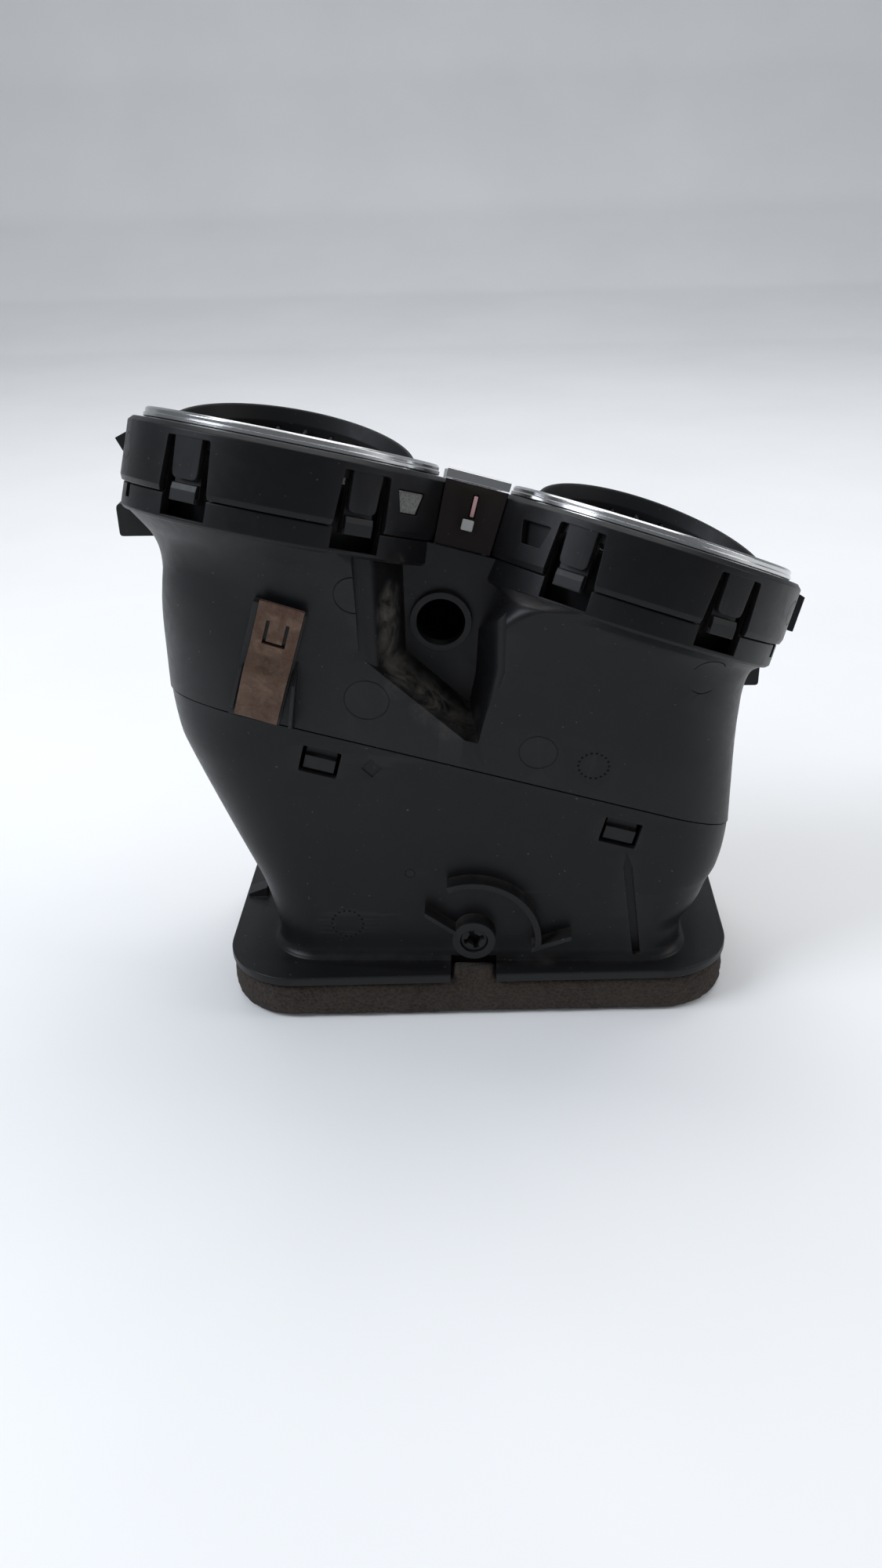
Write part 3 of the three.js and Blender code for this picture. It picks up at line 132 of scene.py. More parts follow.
COLLAR_BORE = COLLAR_RADIUS - COLLAR_WALL
SPIGOT_RADIUS = COLLAR_BORE - GAP
SPIGOT_BORE = SPIGOT_RADIUS - 1.8
BAND_RADIUS = COLLAR_RADIUS - BAND_SETBACK
BAND_TOP = COLLAR_HEIGHT + GAP
BAND_BOTTOM = BAND_TOP + BAND_HEIGHT
BEARING_INNER = BALL_RADIUS + 0.7
BEARING_OUTER = SPIGOT_BORE - 3 * GAP
BUSH_RADIUS = TRUNNION_RADIUS + GAP + 2
BARREL_PITCH = 2 * COLLAR_RADIUS + COLLAR_SPACING
FLANGE_BOTTOM = GASKET_HEIGHT + GAP
FLANGE_TOP = FLANGE_BOTTOM + FLANGE_THICKNESS
BRIDGE_BOTTOM = BRIDGE_LIFT - COLLAR_HEIGHT - 0.2

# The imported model's own place for the flaps' axis says how far the row frame is from these sizes.
FLAP_PLACE = next(j for j in frame["joints"] if j["name"] == "left_flap_turn")["pos_m"]
SHIFT = Vector((FLAP_PLACE[0] / MM - FLAP_X, FLAP_PLACE[1] / MM, 0))


# ---- solids
def spot(at=(0, 0, 0), x=0, y=0, z=0):
    turn = Matrix.Rotation(radians(y), 4, "Y") @ Matrix.Rotation(radians(x), 4, "X")
    return Matrix.Translation(at) @ turn @ Matrix.Rotation(radians(z), 4, "Z")


UPRIGHT = Matrix.Rotation(math.pi / 2, 4, "Z") @ Matrix.Rotation(math.pi / 2, 4, "X")


def link(name, data):
    obj = bpy.data.objects.new(name, data)
    bpy.context.scene.collection.objects.link(obj)
    return obj


def solid(points, faces):
    mesh = bpy.data.meshes.new("solid")
    mesh.from_pydata([tuple(p) for p in points], [], faces)
    bm = bmesh.new()
    bm.from_mesh(mesh)
    bmesh.ops.remove_doubles(bm, verts=bm.verts, dist=1e-4)
    bmesh.ops.recalc_face_normals(bm, faces=bm.faces)
    bm.to_mesh(mesh)
    bm.free()
    return link("solid", mesh)


def placed(obj, matrix):
    obj.data.transform(matrix)
    if matrix.determinant() < 0:
        obj.data.flip_normals()
    return obj


def moved(obj, x=0, y=0, z=0):
    return placed(obj, Matrix.Translation((x, y, z)))


def drop(obj):
    mesh = obj.data
    bpy.data.objects.remove(obj)
    if mesh.users == 0:
        bpy.data.meshes.remove(mesh)


def settle(obj):
    """Applies the object's modifiers."""
    graph = bpy.context.evaluated_depsgraph_get()
    mesh = bpy.data.meshes.new_from_object(obj.evaluated_get(graph))
    old = obj.data
    obj.modifiers.clear()
    obj.data = mesh
    if old.users == 0:
        bpy.data.meshes.remove(old)
    return obj


def combine(how, base, tools):
    for tool in tools:
        step = base.modifiers.new("step", "BOOLEAN")
        step.operation = how
        step.solver = "MANIFOLD"
        step.object = tool
    settle(base)
    for tool in tools:
        drop(tool)
    return base


def flat(shapes):
    for shape in shapes:
        if isinstance(shape, (list, tuple)):
            yield from flat(shape)
        else:
            yield shape


def unite(first, *others):
    shapes = list(flat([first, *others]))
    return combine("UNION", shapes[0], shapes[1:])


def cut(base, *tools):
    return combine("DIFFERENCE", base, list(flat(tools)))


def meet(base, *tools):
    return combine("INTERSECT", base, list(flat(tools)))


def prism(outline, low, high):
    count = len(outline)
    points = [(x, y, low) for x, y in outline] + [(x, y, high) for x, y in outline]
    sides = [(i, (i + 1) % count, (i + 1) % count + count, i + count) for i in range(count)]
    return solid(points, [tuple(range(count)), tuple(range(count, 2 * count)), *sides])


def prism_x(outline, x0, x1):
    """A (y, z) outline that runs from x0 to x1."""
    return placed(prism(outline, x0, x1), UPRIGHT)


def prism_y(outline, y0, y1):
    """An (x, z) outline that runs from y0 to y1."""
    return placed(prism(outline, -y1, -y0), spot(x=90))


def rectangle(x, y):
    return [(x[0], y[0]), (x[1], y[0]), (x[1], y[1]), (x[0], y[1])]


def box(x, y, z):
    return prism(rectangle(x, y), *z)


def arc(cx, cy, radius, start, end, steps):
    turns = [radians(start + (end - start) * i / steps) for i in range(steps + 1)]
    return [(cx + radius * math.cos(t), cy + radius * math.sin(t)) for t in turns]


def rod(radius, low, high, steps=48):
    return prism(arc(0, 0, radius, 0, 360 - 360 / steps, steps - 1), low, high)


def rod_x(radius, low, high, steps=48):
    return placed(rod(radius, low, high, steps), spot(y=90))


def rod_y(radius, low, high, steps=48):
    return placed(rod(radius, low, high, steps), spot(x=-90))


def skin(levels, closed=False):
    """A solid over rings of points, which go round to the first one or end in two caps."""
    count, rows = len(levels[0]), len(levels)
    faces = []
    for row in range(rows if closed else rows - 1):
        here, there = row * count, (row + 1) % rows * count
        for i in range(count):
            j = (i + 1) % count
            faces.append((here + i, here + j, there + j, there + i))
    if not closed:
        faces += [tuple(range(count)), tuple(range((rows - 1) * count, rows * count))]
    return solid([point for level in levels for point in level], faces)


def lathe(outline, steps=FINE):
    turns = [2 * math.pi * step / steps for step in range(steps)]
    return skin([[(r * math.cos(t), r * math.sin(t), z) for r, z in outline] for t in turns], closed=True)


def rounded(outline, radii, steps=4):
    """The outline with its corners rounded; radii is one number, or one for each corner."""
    made, count = [], len(outline)
    for i, corner in enumerate(outline):
        radius = radii if isinstance(radii, (int, float)) else radii[i]
        here = Vector(corner)
        before = Vector(outline[i - 1]) - here
        after = Vector(outline[(i + 1) % count]) - here
        if radius <= 0:
            made.append(tuple(here))
            continue
        half = before.angle(after) / 2
        run = min(radius / math.tan(half), before.length * 0.48, after.length * 0.48)
        start, end = here + before.normalized() * run, here + after.normalized() * run
        for step in range(steps + 1):
            t = step / steps
            made.append(tuple((1 - t) ** 2 * start + 2 * t * (1 - t) * here + t * t * end))
    return made


def ring_points(plan, lift, inset=0, per_side=7, per_corner=12):
    """A rectangle with round corners as points that match those of any other such ring.
    The last of plan is one radius, or those of the right back, left back, left front and right front."""
    x0, x1, y0, y1, corner = plan
    corners = corner if isinstance(corner, (list, tuple)) else [corner] * 4
    mx, my = (x0 + x1) / 2, (y0 + y1) / 2
    span = per_side * 2 + per_corner
    points = []
    for quarter in range(4):
        full = corners[quarter]
        radius = full - inset
        cx = x1 - full if quarter in (0, 3) else x0 + full
        cy = y1 - full if quarter < 2 else y0 + full
        round_all = full >= (x1 - x0) / 2 - 1e-6
        for step in range(span):
            share = step / span if round_all else min(1, max(0, (step - per_side) / per_corner))
            angle = math.pi / 2 * (quarter + share)
            x, y = cx + radius * math.cos(angle), cy + radius * math.sin(angle)
            along = min(step, span - step) / per_side
            if not round_all and along < 1:
                if (quarter % 2 == 0) == (step < per_side):
                    y = my + (y - my) * along
                else:
                    x = mx + (x - mx) * along
            points.append(lift(x, y))
    return points


def loft(rings, fillet=0.35, steps=8):
    """A skin over rings that eases round each ring in between."""
    levels = [rings[0]]
    for i in range(1, len(rings) - 1):
        for step in range(steps + 1):
            t = step / steps
            level = []
            for before, here, after in zip(rings[i - 1], rings[i], rings[i + 1]):
                start, end = here.lerp(before, fillet), here.lerp(after, fillet)
                level.append((1 - t) ** 2 * start + 2 * t * (1 - t) * here + t * t * end)
            levels.append(level)
    return skin([*levels, rings[-1]])


# ---- frames
FACE = spot((0, 0, FACE_HEIGHT), x=-FACE_LEAN, y=FACE_TILT)
NORMAL = FACE.to_3x3() @ Vector((0, 0, 1))


def barrel_frame(side):
    along = Matrix.Rotation(radians(FACE_TILT), 3, "Y") @ Vector((BARREL_PITCH / 2, 0, 0))
    at = Vector((0, 0, FACE_HEIGHT)) + along * SIDES[side]
    return spot(at, x=-FACE_LEAN, y=FACE_TILT + SIDES[side] * BARREL_SPLAY)


BARREL = {side: barrel_frame(side) for side in SIDES}


def plane_height(depth, x, y):
    return FACE_HEIGHT - (depth + NORMAL.x * x + NORMAL.y * y) / NORMAL.z


def on_plane(depth):
    return lambda x, y: Vector((x, y, plane_height(depth, x, y)))


def in_barrel(side, depth):
    return lambda x, y: BARREL[side] @ Vector((x, y, -depth))


def round_barrel(shape, angle):
    return placed(shape, spot(z=angle - 90))


def window_angles(side):
    front = WINDOW_ANGLES[side]
    return [*front, *(180 - angle for angle in front)]


# ---- materials
def colour(value):
    """A colour with its alpha; a single number is a grey."""
    return (value, value, value, 1) if isinstance(value, (int, float)) else (*value, 1)


class Tree:
    """The node tree of a material or of the world."""

    def __init__(self, owner):
        owner.use_nodes = True
        self.owner, self.nodes, self.links = owner, owner.node_tree.nodes, owner.node_tree.links

    def put(self, socket, value):
        if isinstance(value, bpy.types.NodeSocket):
            self.links.new(value, socket)
        else:
            socket.default_value = colour(value) if socket.type == "RGBA" else value

    def add(self, kind, **settings):
        node = self.nodes.new("ShaderNode" + kind)
        for key, value in settings.items():
            if key in node.inputs:
                self.put(node.inputs[key], value)
            else:
                setattr(node, key, value)
        return node

    def ramp(self, source, *stops):
        node = self.add("ValToRGB", Fac=source)
        elements = node.color_ramp.elements
        while len(elements) > 1:
            elements.remove(elements[0])
        for i, (position, value) in enumerate(stops):
            element = elements[0] if i == 0 else elements.new(position)
            element.position = position
            element.color = colour(value)
        return node.outputs["Color"]

    def mix(self, factor, a, b, blend="MIX"):
        node = self.add("Mix", data_type="RGBA", blend_type=blend)
        for index, value in ((0, factor), (6, a), (7, b)):
            self.put(node.inputs[index], value)
        return node.outputs[2]

    def maths(self, operation, a, b):
        node = self.add("Math", operation=operation)
        self.put(node.inputs[0], a)
        self.put(node.inputs[1], b)
        return node.outputs[0]

    def weighed(self, a, weight_a, b, weight_b):
        """The sum of two values by weight; a weight of None leaves its value as it is."""
        terms = [value if weight is None else self.maths("MULTIPLY", value, weight)
                 for value, weight in ((a, weight_a), (b, weight_b))]
        return self.maths("ADD", *terms)


class Surface(Tree):
    """A material, its shader's sockets, and the ends of its node tree that all of them share."""

    def __init__(self, name):
        super().__init__(bpy.data.materials.new(name))
        self.shader = self.nodes["Principled BSDF"].inputs
        self.coords = self.add("TexCoord").outputs["Object"]

    def noise(self, scale, detail=3, rough=0.55, distortion=0):
        return self.add("TexNoise", Vector=self.coords, Scale=scale, Detail=detail, Roughness=rough,
                        Distortion=distortion).outputs["Fac"]

    def finish(self, base, height, strength, depth, edge=0):
        """Connects the colour and the bump, with edges rounded by so many millimetres."""
        bump = self.add("Bump", Strength=strength, Distance=depth, Height=height)
        if edge:
            bevel = self.add("Bevel", Radius=edge * MM, samples=4)
            self.put(bump.inputs["Normal"], bevel.outputs[0])
        self.put(self.shader["Base Color"], base)
        self.put(self.shader["Normal"], bump.outputs[0])
        return self.owner


def dust_patches(tree, geometry, streaks, patches):
    """Where dust lies thick: soft balls about given points of the row frame."""
    total = None
    broken = tree.ramp(streaks, (0.38, 0.15), (0.6, 1))
    for centre, radius, amount in patches:
        away = tree.add("VectorMath", operation="DISTANCE")
        tree.put(away.inputs[0], geometry["Position"])
        tree.put(away.inputs[1], (Vector(centre) + SHIFT) * MM)
        far = tree.maths("DIVIDE", away.outputs["Value"], radius * MM)
        near = tree.mix(1.0, tree.ramp(far, (0.45, amount), (1.0, 0)), broken, "MULTIPLY")
        total = near if total is None else tree.mix(1.0, total, near, "LIGHTEN")
    return total


@cache
def plastic(name, color, rough, grain=0.12, dust=0.25, worn=0.1, specular=0.22, patches=()):
    """Moulded plastic: fine grain, uneven sheen, dust in its corners and paler edges."""
    tree = Surface(name)
    geometry = tree.add("NewGeometry").outputs
    clouds, specks, fine = tree.noise(28, 4), tree.noise(900, 2), tree.noise(5200, 2)
    streaks = tree.noise(120, 5, 0.7, 1.5)

    base = tree.mix(tree.ramp(clouds, (0.35, 0), (0.7, 1)), [c * 0.85 for c in color],
                    [c * 1.2 for c in color])
    edges = tree.ramp(geometry["Pointiness"], (0.51, 0), (0.58, worn))
    base = tree.mix(edges, base, [min(1, c * 3 + 0.05) for c in color])

    occlusion = tree.add("AmbientOcclusion", Distance=0.007, samples=6, only_local=True)
    dirt = tree.ramp(occlusion.outputs["AO"], (0.25, 1), (0.8, 0))
    height = tree.add("SeparateXYZ", Vector=geometry["Normal"]).outputs["Z"]
    for share in (tree.ramp(height, (0.1, 0.12), (0.9, 1)), tree.ramp(streaks, (0.35, 0.1), (0.65, 1)), dust):
        dirt = tree.mix(1.0, dirt, share, "MULTIPLY")
    dirt = tree.mix(1.0, dirt, tree.ramp(specks, (0.735, 0), (0.76, dust * 1.4)), "ADD")
    if patches:
        dirt = tree.mix(1.0, dirt, dust_patches(tree, geometry, streaks, patches), "ADD")
    base = tree.mix(dirt, base, (0.2, 0.18, 0.155))

    sheen = tree.ramp(streaks, (0.3, rough - 0.05), (0.7, rough + 0.07))
    tree.put(tree.shader["Roughness"], tree.mix(dirt, sheen, 0.95))
    tree.shader["Specular IOR Level"].default_value = specular
    return tree.finish(base, tree.weighed(fine, grain, clouds, 0.6), 0.5, 0.00012, edge=0.3)


@cache
def metal(name, color, rough, rust=None, scratches=0.15, relief=0.00002):
    """Plated or bare metal with fine scratches, and with rust where its two colours are given."""
    tree = Surface(name)
    height = tree.noise(1400, 3, 0.7, 3)
    clouds = tree.noise(60, 4)
    base = tree.mix(tree.ramp(clouds, (0.3, 0), (0.7, 1)), [c * 0.9 for c in color], color)
    roughness = tree.ramp(height, (0.35, rough), (0.7, rough + scratches))
    tree.shader["Metallic"].default_value = 1
    if rust:
        fine = tree.noise(1500, 4, 0.6)
        height = tree.weighed(tree.noise(210, 8, 0.68, 0.6), 0.75, fine, 0.25)
        patches = tree.ramp(height, (0.4, 0), (0.56, 1))
        base = tree.mix(patches, base, tree.ramp(fine, (0.3, rust[0]), (0.7, rust[1])))
        roughness = tree.mix(patches, roughness, 0.85)
        tree.put(tree.shader["Metallic"], tree.ramp(height, (0.4, 0.85), (0.56, 0.1)))
        relief = 0.00015
    tree.put(tree.shader["Roughness"], roughness)
    return tree.finish(base, height, 0.4, relief, edge=0.2)


@cache
def cellular(name, dark, light, cell, depth, sheen=0.3):
    """Open-cell foam or felt: pores darkened with painted shade, pale fibres and a soft sheen."""
    tree = Surface(name)
    pores = tree.add("TexVoronoi", Vector=tree.coords, Scale=cell, feature="F1", Randomness=1.0)
    pores = pores.outputs["Distance"]
    fibres = tree.noise(cell * 1.7, 5, 0.75, 1.2)
    clouds = tree.noise(55, 4)
    base = tree.ramp(fibres, (0.32, dark), (0.55, [(a + b) / 2 for a, b in zip(dark, light)]), (0.72, light))
    # painted shade: the colour darkens towards each pore's centre, standing in for the shade inside the pores
    base = tree.mix(tree.ramp(pores, (0.1, 0.75), (0.6, 0)), base, [c * 0.45 for c in dark])
    base = tree.mix(tree.ramp(clouds, (0.35, 0), (0.7, 0.35)), base, light)
    for socket, value in (("Roughness", 0.95), ("Specular IOR Level", 0.1), ("Sheen Weight", sheen),
                          ("Sheen Roughness", 0.6)):
        tree.shader[socket].default_value = value
    return tree.finish(base, tree.weighed(fibres, None, pores, 0.7), 0.9, depth)


def black_plastic():
    return "black_plastic", plastic("black abs", (0.006, 0.006, 0.0068), 0.38)


def shell_plastic():
    floor = (((-20, -27, 103), 9, 0.42), ((-12, -27, 96), 9, 0.42), ((-6, -28, 91), 8, 0.35),
             ((-22, -27, 113), 8, 0.4), ((-21, -27, 121), 8, 0.45), ((-17, -33, 132), 6, 0.25))
    return "black_plastic", plastic("black abs of the upper shell", (0.006, 0.006, 0.0068),
                                    0.4, patches=floor)


def inner_plastic():
    return "black_plastic", plastic("satin black", (0.012, 0.012, 0.013),
                                    0.5, grain=0.3, dust=0.12, worn=0.06)


def gloss_plastic():
    return "gloss_black", plastic("gloss brown black", (0.012, 0.0085, 0.007),
                                  0.18, grain=0.02, dust=0.2, worn=0.05)


def pale_plastic():
    return "pale_plastic", plastic("natural nylon", (0.62, 0.58, 0.5),
                                   0.45, grain=0.05, dust=0.3, worn=0.0, specular=0.4)


def grey_plastic():
    return "grey_plastic", plastic("grey plastic", (0.32, 0.31, 0.3), 0.5, grain=0.1, dust=0.2)


def pink_plastic():
    return "pink_lens", plastic("pink light guide", (0.5, 0.3, 0.3), 0.2, grain=0.0, dust=0.2, worn=0.0)


def chrome():
    return "trim_chrome", metal("trim chrome", (0.56, 0.56, 0.56), 0.16, scratches=0.05, relief=0.000003)


def rusty_steel():
    return "clip_steel", metal("rusted spring steel", (0.13, 0.085, 0.06), 0.34,
                               rust=((0.045, 0.02, 0.011), (0.1, 0.05, 0.03)), scratches=0.2)


def bright_steel():
    return "clip_steel", metal("steel pin", (0.5, 0.49, 0.47), 0.3, scratches=0.2)


def gasket_foam():
    return "gasket_foam", cellular("brown foam", (0.012, 0.0082, 0.0062),
                                   (0.085, 0.062, 0.048), 950, 0.0009, sheen=0.08)


def seal_foam():
    return "gasket_foam", cellular("flap foam", (0.02, 0.018, 0.016), (0.09, 0.08, 0.07), 1300, 0.0003)


def grey_felt():
    return "grey_felt", cellular("grey felt", (0.1, 0.1, 0.097), (0.26, 0.255, 0.24), 1500, 0.0003, sheen=0.1)


# ---- finishing
def piece(name, obj, node, look, matrix=Matrix(), angle=32):
    """Puts a solid in the row frame as a piece that stands for a CAD node and rides with its body."""
    placed(obj, Matrix.Scale(MM, 4) @ Matrix.Translation(SHIFT) @ matrix)
    obj.data.polygons.foreach_set("use_smooth", [True] * len(obj.data.polygons))
    obj.data.set_sharp_from_angle(angle=radians(angle))
    even = obj.modifiers.new("even", "WEIGHTED_NORMAL")
    even.keep_sharp = True
    even.weight = 50
    settle(obj)
    obj.name = obj.data.name = name
    obj.data.materials.clear()
    slot, material = look
    obj.data.materials.append(material)
    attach(obj, frame["nodes"][node]["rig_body"])
    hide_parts(node)
    return obj


def fine_grid(obj, size):
    """Remeshes a soft solid in small cells and gives its points, each with its normal."""
    grid = obj.modifiers.new("grid", "REMESH")
    grid.mode = "VOXEL"
    grid.voxel_size = size
    points = settle(obj).data.vertices
    return list(zip(points, [point.normal.copy() for point in points]))


# ---- barrels
def view_slot(inset, low, high):
    wide = VIEW_SLOT["width"] / 2 - inset
    narrow = wide - VIEW_SLOT["taper"]
    top, bottom = -VIEW_SLOT["top"] - inset, -VIEW_SLOT["bottom"] + inset
    outline = [(-narrow, bottom), (narrow, bottom), (wide, top), (-wide, top)]
    return prism_x(rounded(outline, 0.4), low, high)


def snap_ramp(side):
    inner, tip = COLLAR_RADIUS - 1, COLLAR_RADIUS + 3
    outline = {
        "left": [(inner, -3.4), (inner, -10), (COLLAR_RADIUS, -10), (tip, -6.6)],
        "right": [(inner, -1.6), (inner, -4.6), (tip - 1.6, -5.6), (tip - 1.6, -12.4), (tip, -12.4),
                  (tip, -2.6)],
    }[side]
    return placed(prism_y(rounded(outline, 0.25), -3.5, 3.5), spot(z=180 if side == "left" else 0))


def ring_mark(radius, width, low, high):
    """A thin tube along X, for the shallow circle that an ejector pin leaves."""
    return placed(cut(rod(radius, low, high, 40), rod(radius - width, low - 1, high + 1, 40)), spot(y=90))


def collar(side):
    inner = SKIRT_RADIUS + GAP
    outline = rounded([
        (inner, 0), (COLLAR_RADIUS - 1.2, 0), (COLLAR_RADIUS, -1.2), (COLLAR_RADIUS, -COLLAR_HEIGHT + 1.4),
        (COLLAR_RADIUS - 0.5, -COLLAR_HEIGHT), (COLLAR_BORE, -COLLAR_HEIGHT), (COLLAR_BORE, -COLLAR_LIP),
        (inner, -COLLAR_LIP),
    ], [0.3, 0.5, 0.5, 0.6, 0.3, 0.2, 0.4, 0.2])
    wall = lathe(outline)
    low, high = COLLAR_BORE - COLLAR_WALL, COLLAR_RADIUS + COLLAR_WALL
    half, flare = WINDOW_WIDTH / 2, 0.5
    hole = rounded([(-half - flare, -COLLAR_HEIGHT - 1), (half + flare, -COLLAR_HEIGHT - 1),
                    (half - flare, -WINDOW_TOP), (-half + flare, -WINDOW_TOP)], [0, 0, 0.7, 0.7])
    tab = TONGUE_WIDTH / 2
    tongue = rounded([(-tab, -TONGUE_TIP), (tab, -TONGUE_TIP), (tab + 0.3, -COLLAR_LIP),
                      (-tab - 0.3, -COLLAR_LIP)], [1.8, 1.8, 0, 0])
    thin = [(COLLAR_BORE + 0.2, -TONGUE_TIP - 1), (COLLAR_RADIUS - 0.45, -TONGUE_TIP - 1),
            (COLLAR_RADIUS - 0.15, -COLLAR_LIP + 0.5), (COLLAR_BORE + 0.2, -COLLAR_LIP + 0.5)]

    def through(outline):
        return [round_barrel(prism_x(outline, low, high), angle) for angle in window_angles(side)]

    tongues = [meet(lathe(thin), shape) for shape in through(tongue)]
    wall = unite(cut(wall, through(hole)), tongues, snap_ramp(side))
    slot = round_barrel(view_slot(0, low, high), -SIDES[side] * VIEW_SLOT["angle"])
    mark = moved(ring_mark(3.4, 0.28, COLLAR_RADIUS - 0.16, COLLAR_RADIUS + 2), z=-7.6)
    round_barrel(mark, -66 if side == "left" else 63)
    return cut(wall, slot, mark)


def trim_ring():
    top, skirt = GAP + RING_HEIGHT, SKIRT_RADIUS - 1.2
    outline = [
        (RING_BORE, GAP + 0.2), (RING_BORE + 0.2, GAP), (skirt, GAP), (skirt, -5), (SKIRT_RADIUS, -5),
        (SKIRT_RADIUS, GAP), (RING_RADIUS - 0.2, GAP), (RING_RADIUS, GAP + 0.2),
        *rounded([(RING_RADIUS, GAP + 0.5), (RING_RADIUS, GAP + 1.0), (RING_RADIUS - 0.35, GAP + 1.15)],
                 [0, 0.1, 0]),
        *rounded([(RING_RADIUS - 0.35, GAP + 1.35), (RING_RADIUS - 0.3, top - 0.55),
                  (RING_RADIUS - 0.8, top), (RING_RADIUS - 1.5, top)], [0, 0.3, 0.3, 0]),
        (RING_RADIUS - 1.6, top - 0.25), (RING_RADIUS - 1.85, top - 0.25), (RING_RADIUS - 1.95, top),
        *rounded([(RING_RADIUS - 2.8, top), (RING_BORE + 0.3, top - 0.5), (RING_BORE, top - 1.1)],
                 [0.4, 0.4, 0.1]),
    ]
    return lathe(outline)


def view_pad():
    return round_barrel(view_slot(GAP, COLLAR_BORE, COLLAR_RADIUS - 0.7), VIEW_SLOT["angle"])


def vane_places():
    return [(i - (VANE_COUNT - 1) / 2) * VANE_SPACING for i in range(VANE_COUNT)]


def nozzle():
    half = NOZZLE_HALF
    reach = math.degrees(math.asin(half / BALL_RADIUS))
    outline = arc(0, 0, BALL_RADIUS, -reach, reach, 30)
    lip = rounded([outline[-1], (NOZZLE_BORE + 1.2, half), (NOZZLE_BORE, half - 3.8), (NOZZLE_BORE, -half),
                   outline[0]], [0.9, 1.2, 1.5, 0.5, 0.4], 6)
    body = lathe(outline[1:-1] + lip)
    for end in (-1, 1):
        root, tip = end * (BALL_RADIUS - 1), end * (BEARING_OUTER - GAP)
        body = unite(body, rod_x(TRUNNION_RADIUS, min(root, tip), max(root, tip)))
    holes = []
    for x in vane_places():
        wall = math.sqrt(NOZZLE_BORE ** 2 - x ** 2)
        for turn in (0, 180):
            hole = rod_y(VANE_PIN_RADIUS + GAP, -3, VANE_PIN_LENGTH + GAP, 24)
            groove = box((-0.55, 0.55), (-2, 0.8), (0, half - 5))
            holes += [placed(moved(tool, x, wall), spot(z=turn)) for tool in (hole, groove)]
    return cut(body, holes)


def vane_half(x, s):
    swept = abs(x) + abs(s) * math.sin(radians(VANE_SWING)) + VANE_THICKNESS / 2
    return math.sqrt(NOZZLE_BORE ** 2 - swept ** 2) - 0.5


def vane(x):
    """A blade with a round nose and a tapered tail, its pins, and the pin that the link bar pushes."""
    count = 12
    sections = []
    for i in range(count + 1):
        s = -VANE_BACK + (VANE_BACK + VANE_FRONT) * (0.5 - 0.5 * math.cos(math.pi * i / count))
        ahead, behind = (VANE_FRONT - s) / 0.6, (s + VANE_BACK) / 2.4
        nose = math.sqrt(max(0.04, 1 - max(0, 1 - ahead) ** 2))
        thick = VANE_THICKNESS / 2 * nose * min(1, 0.55 + 0.45 * behind)
        long = vane_half(x, s)
        sections.append([Vector((-thick, -long, s)), Vector((thick, -long, s)),
                         Vector((thick, long, s)), Vector((-thick, long, s))])
    plate = loft(sections, 0.0, 1)
    end = math.sqrt(NOZZLE_BORE ** 2 - x ** 2) + VANE_PIN_LENGTH - GAP
    plate = unite(plate, rod_y(VANE_PIN_RADIUS, -end, end, 24))
    notch = LINK_WIDTH / 2 + 2 * GAP
    plate = cut(plate, box((-2, 2), (-notch, notch), (-VANE_BACK - 1, -CRANK + 2.3)))
    return unite(plate, moved(rod_y(CRANK_PIN, -notch - 1, notch + 1, 20), z=-CRANK))


def link_bar():
    places = vane_places()
    end, half, top = places[-1] + LINK_SLOT / 2 + LINK_END, LINK_WIDTH / 2, -CRANK + 1.2
    outline = rounded(rectangle((-end, end), (top - LINK_HEIGHT, top)), 0.8)
    slots = []
    for x in places:
        low = -CRANK - CRANK_PIN - GAP
        slot = rounded(rectangle((x - LINK_SLOT / 2, x + LINK_SLOT / 2), (low, 5)), [1, 1, 0, 0])
        slots.append(prism_y(slot, -half - 1, half + 1))
    return cut(prism_y(outline, -half, half), slots)


def knob():
    """A grip with a waist and ribs across its top."""
    low, edge = VANE_FRONT - KNOB_COVER, 1.2
    half = KNOB_WIDTH / 2
    outline = rounded([(-half + edge, low), (half - edge, low), (half, low + edge),
                       (half - edge, low + KNOB_HEIGHT), (-half + edge, low + KNOB_HEIGHT),
                       (-half, low + edge)], [0.3, 0.3, 0.5, 0.7, 0.7, 0.5])
    grip = prism_y(outline, -KNOB_LENGTH / 2, KNOB_LENGTH / 2)
    slot = VANE_THICKNESS / 2 + GAP
    tools = [box((-slot, slot), (-REACH, REACH), (-REACH, VANE_FRONT + GAP))]
    for i in range(-2, 3):
        tools.append(moved(rod_x(0.45, -5, 5, 16), y=i * 1.9, z=low + KNOB_HEIGHT + 0.2))
    return cut(grip, tools)


def bush():
    body = rod_x(BUSH_RADIUS, BEARING_INNER, BEARING_OUTER)
    return cut(body, rod_x(TRUNNION_RADIUS + GAP, 0, REACH))


# ---- upper housing
def corner_radii(side, outer):
    inner = INNER_CORNER
    return (inner, outer, outer, inner) if side == "left" else (outer, inner, inner, outer)


def duct_rings(side, inset):
    wide = HOUSING_LEFT if side == "left" else HOUSING_RIGHT
    past = -SIDES[side]

    def plan(outer, inner, front, back, corner):
        return (min(outer, inner), max(outer, inner), front, back, corner_radii(side, corner))

    setback, shift, depth = NECK[side]
    neck = COLLAR_RADIUS - setback
    mouth = SPIGOT_BORE if inset else BAND_RADIUS - 0.4
    return [
        ring_points(plan(wide, past * DUCT_OVERLAP, -HALF_DEPTH, HALF_DEPTH, SEAM_CORNER[side]),
                    on_plane(SEAM_DEPTH + 1 if inset else SEAM_DEPTH - GAP / 2), inset),
        ring_points(plan(wide + past * MID_STEP[side], past * MID_PAST, MID_FRONT, MID_BACK, MID_CORNER),
                    on_plane(MID_DEPTH), inset),
        ring_points(plan(shift - neck, shift + neck, -neck, neck, neck), in_barrel(side, depth), inset),
        ring_points((-mouth, mouth, -mouth, mouth, mouth), in_barrel(side, BAND_BOTTOM - 1)),
    ]


